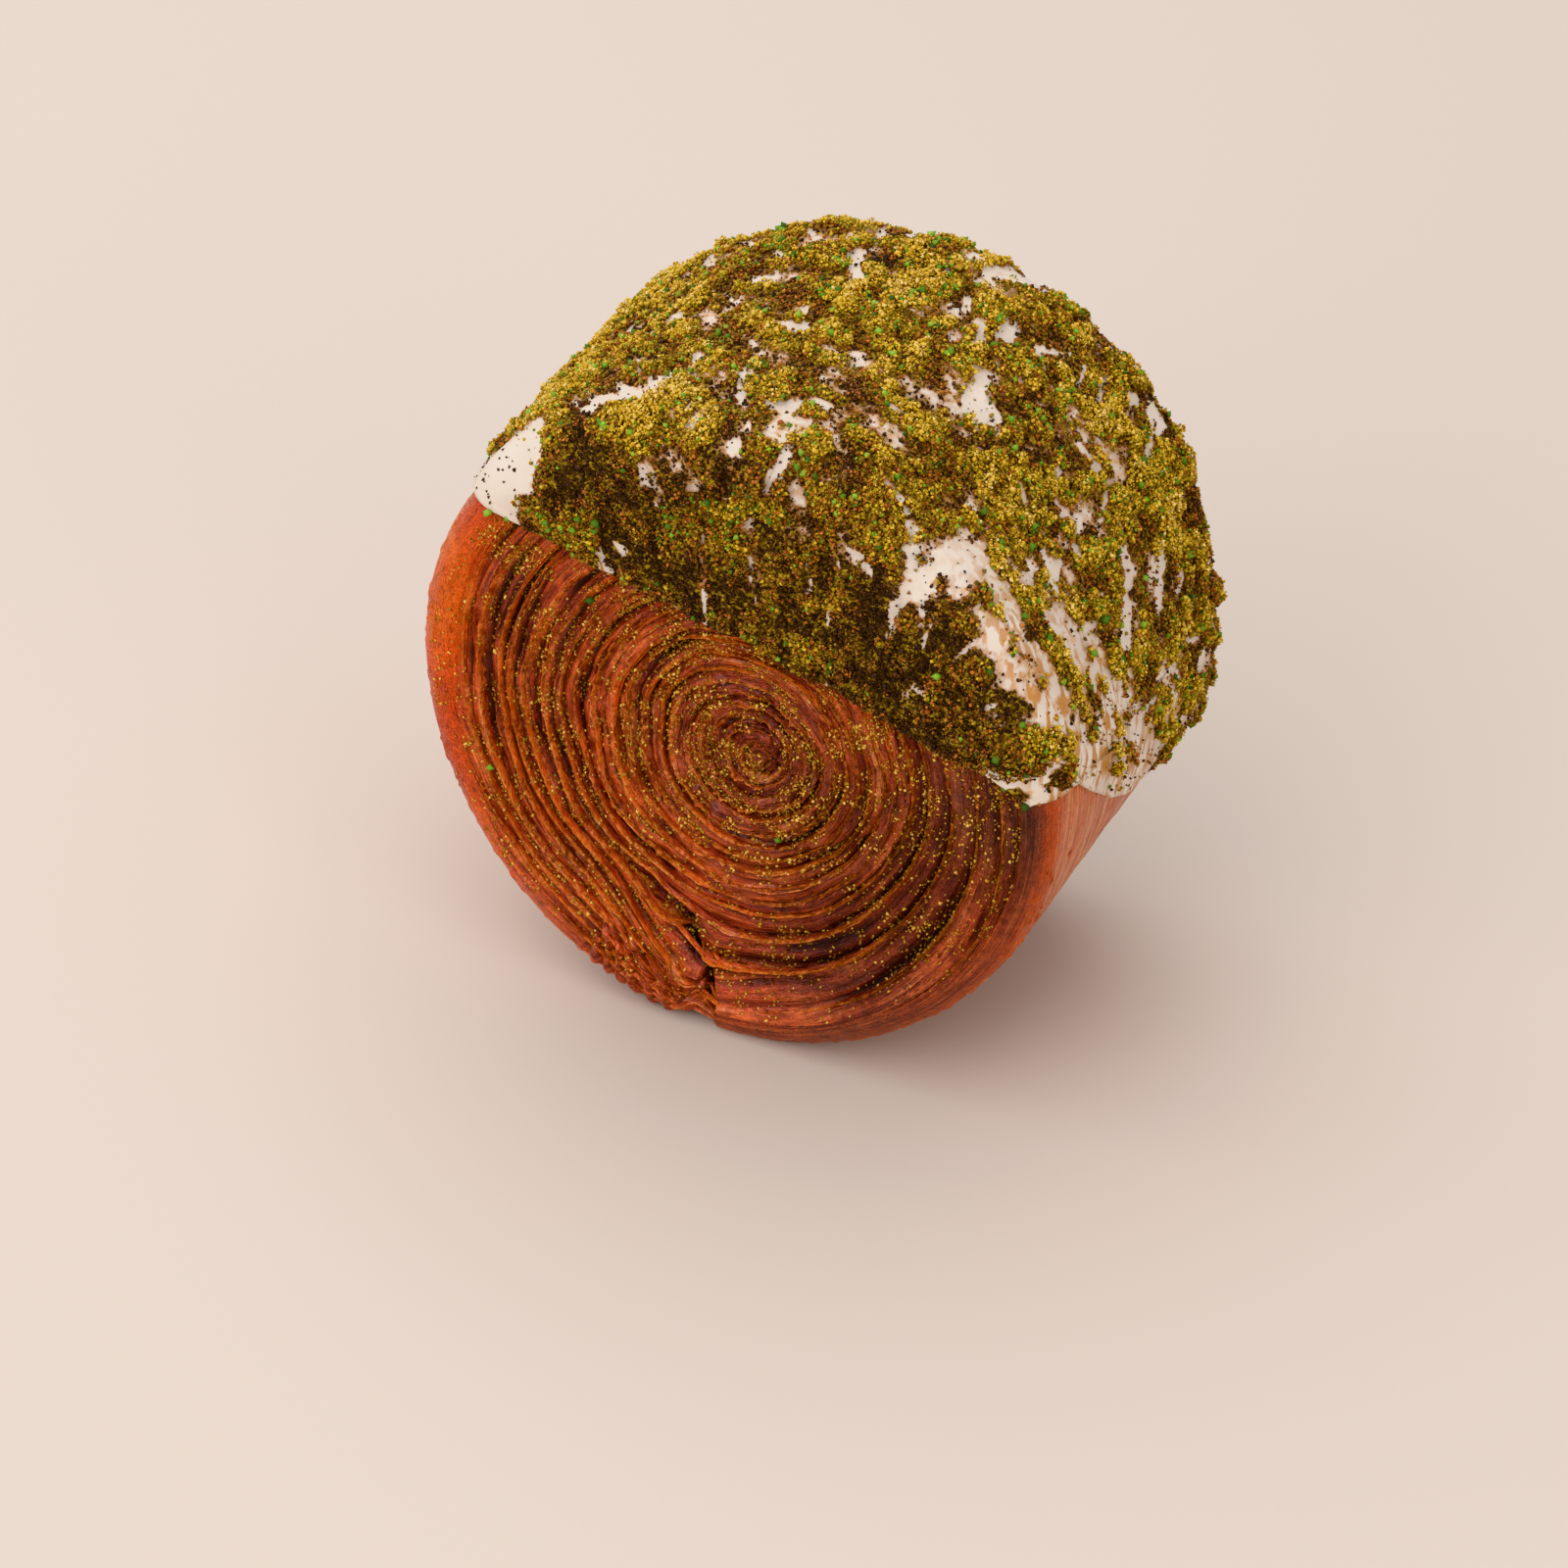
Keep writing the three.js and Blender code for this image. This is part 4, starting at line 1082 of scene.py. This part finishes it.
front_dust = dust(front_side, DUST_TRIES, GRAIN_DRAWS) - (0, 0.1, 0)
back_dust = dust(back_side, DUST_TRIES_BACK, GRAIN_DRAWS) + (0, 0.1, 0)
spot = np.concatenate([front_dust, back_dust])
sizes = 0.26 + 0.4 * GRAIN_DRAWS.uniform(0, 1, len(spot)) ** 4
large = sizes > 0.4
nut = scattered("nut_dust", [
    (spot[large], sizes[large], OCTAHEDRON, OCTAHEDRON_FACES),
    (spot[~large], sizes[~large], TETRAHEDRON, TETRAHEDRON_FACES)], GRAIN_DRAWS)
nut.data.materials.append(nut_finish("nut_dust", colour(120, 76, 22), colour(190, 142, 58), colour(226, 190, 104)))


# ---- The floor, the light and the camera ----
# A plain pale floor, a large soft light from the upper left, and weak light from the front and all
# round.
FLOOR_SIZE = 3.0
floor_mesh = bmesh.new()
bmesh.ops.create_grid(floor_mesh, x_segments=1, y_segments=1, size=FLOOR_SIZE / 2)
floor_data = bpy.data.meshes.new("floor")
floor_mesh.to_mesh(floor_data)
floor_mesh.free()
floor = bpy.data.objects.new("floor", floor_data)
bpy.context.scene.collection.objects.link(floor)
floor_material, floor_tree, floor_shader, _ = nodes_of("pale_floor")
floor_shader.inputs["Base Color"].default_value = colour(194, 183, 174)
floor_shader.inputs["Roughness"].default_value = 0.7
floor.data.materials.append(floor_material)


def soft_light(name, place, target, size, power, tint):
    light = bpy.data.lights.new(name, "AREA")
    light.size = size
    light.energy = power
    light.color = tint
    lamp = bpy.data.objects.new(name, light)
    lamp.location = place
    lamp.rotation_euler = (Vector(target) - Vector(place)).to_track_quat("-Z", "Y").to_euler()
    bpy.context.scene.collection.objects.link(lamp)


soft_light("key", (-0.42, 0.05, 0.85), (0, 0, 0.05), 2.0, 14.0, (1.0, 0.97, 0.92))
soft_light("front", (-0.3, -1.0, 0.55), (0, 0, 0.05), 0.8, 5.8, (1.0, 0.97, 0.95))
soft_light("fill", (0.9, -0.5, 0.35), (0, 0, 0.05), 0.6, 3.0, (1.0, 0.95, 0.9))
world = bpy.data.worlds.new("studio")
world.use_nodes = True
world.node_tree.nodes["Background"].inputs["Color"].default_value = (0.92, 0.88, 0.88, 1)
world.node_tree.nodes["Background"].inputs["Strength"].default_value = 0.86
bpy.context.scene.world = world

CAMERA_PLACE = np.array([267.9, -630.3, 461.2])
CAMERA_RIGHT = Vector((0.9053, 0.4225, 0.0433))
CAMERA_UP = Vector((-0.2771, 0.5102, 0.8142))
CAMERA_LENS = 133.4
camera_data = bpy.data.cameras.new("camera")
camera_data.lens = CAMERA_LENS
camera_data.sensor_width = 36
camera = bpy.data.objects.new("camera", camera_data)
right = CAMERA_RIGHT.normalized()
back = right.cross(CAMERA_UP).normalized()
up = back.cross(right)
turn = Matrix((right, up, back)).transposed().to_4x4()
camera.matrix_world = Matrix.Translation(Vector((CAMERA_PLACE + ROLL_AXIS) / 1000)) @ turn
bpy.context.scene.collection.objects.link(camera)
bpy.context.scene.camera = camera

bpy.context.scene.view_settings.view_transform = "Khronos PBR Neutral"
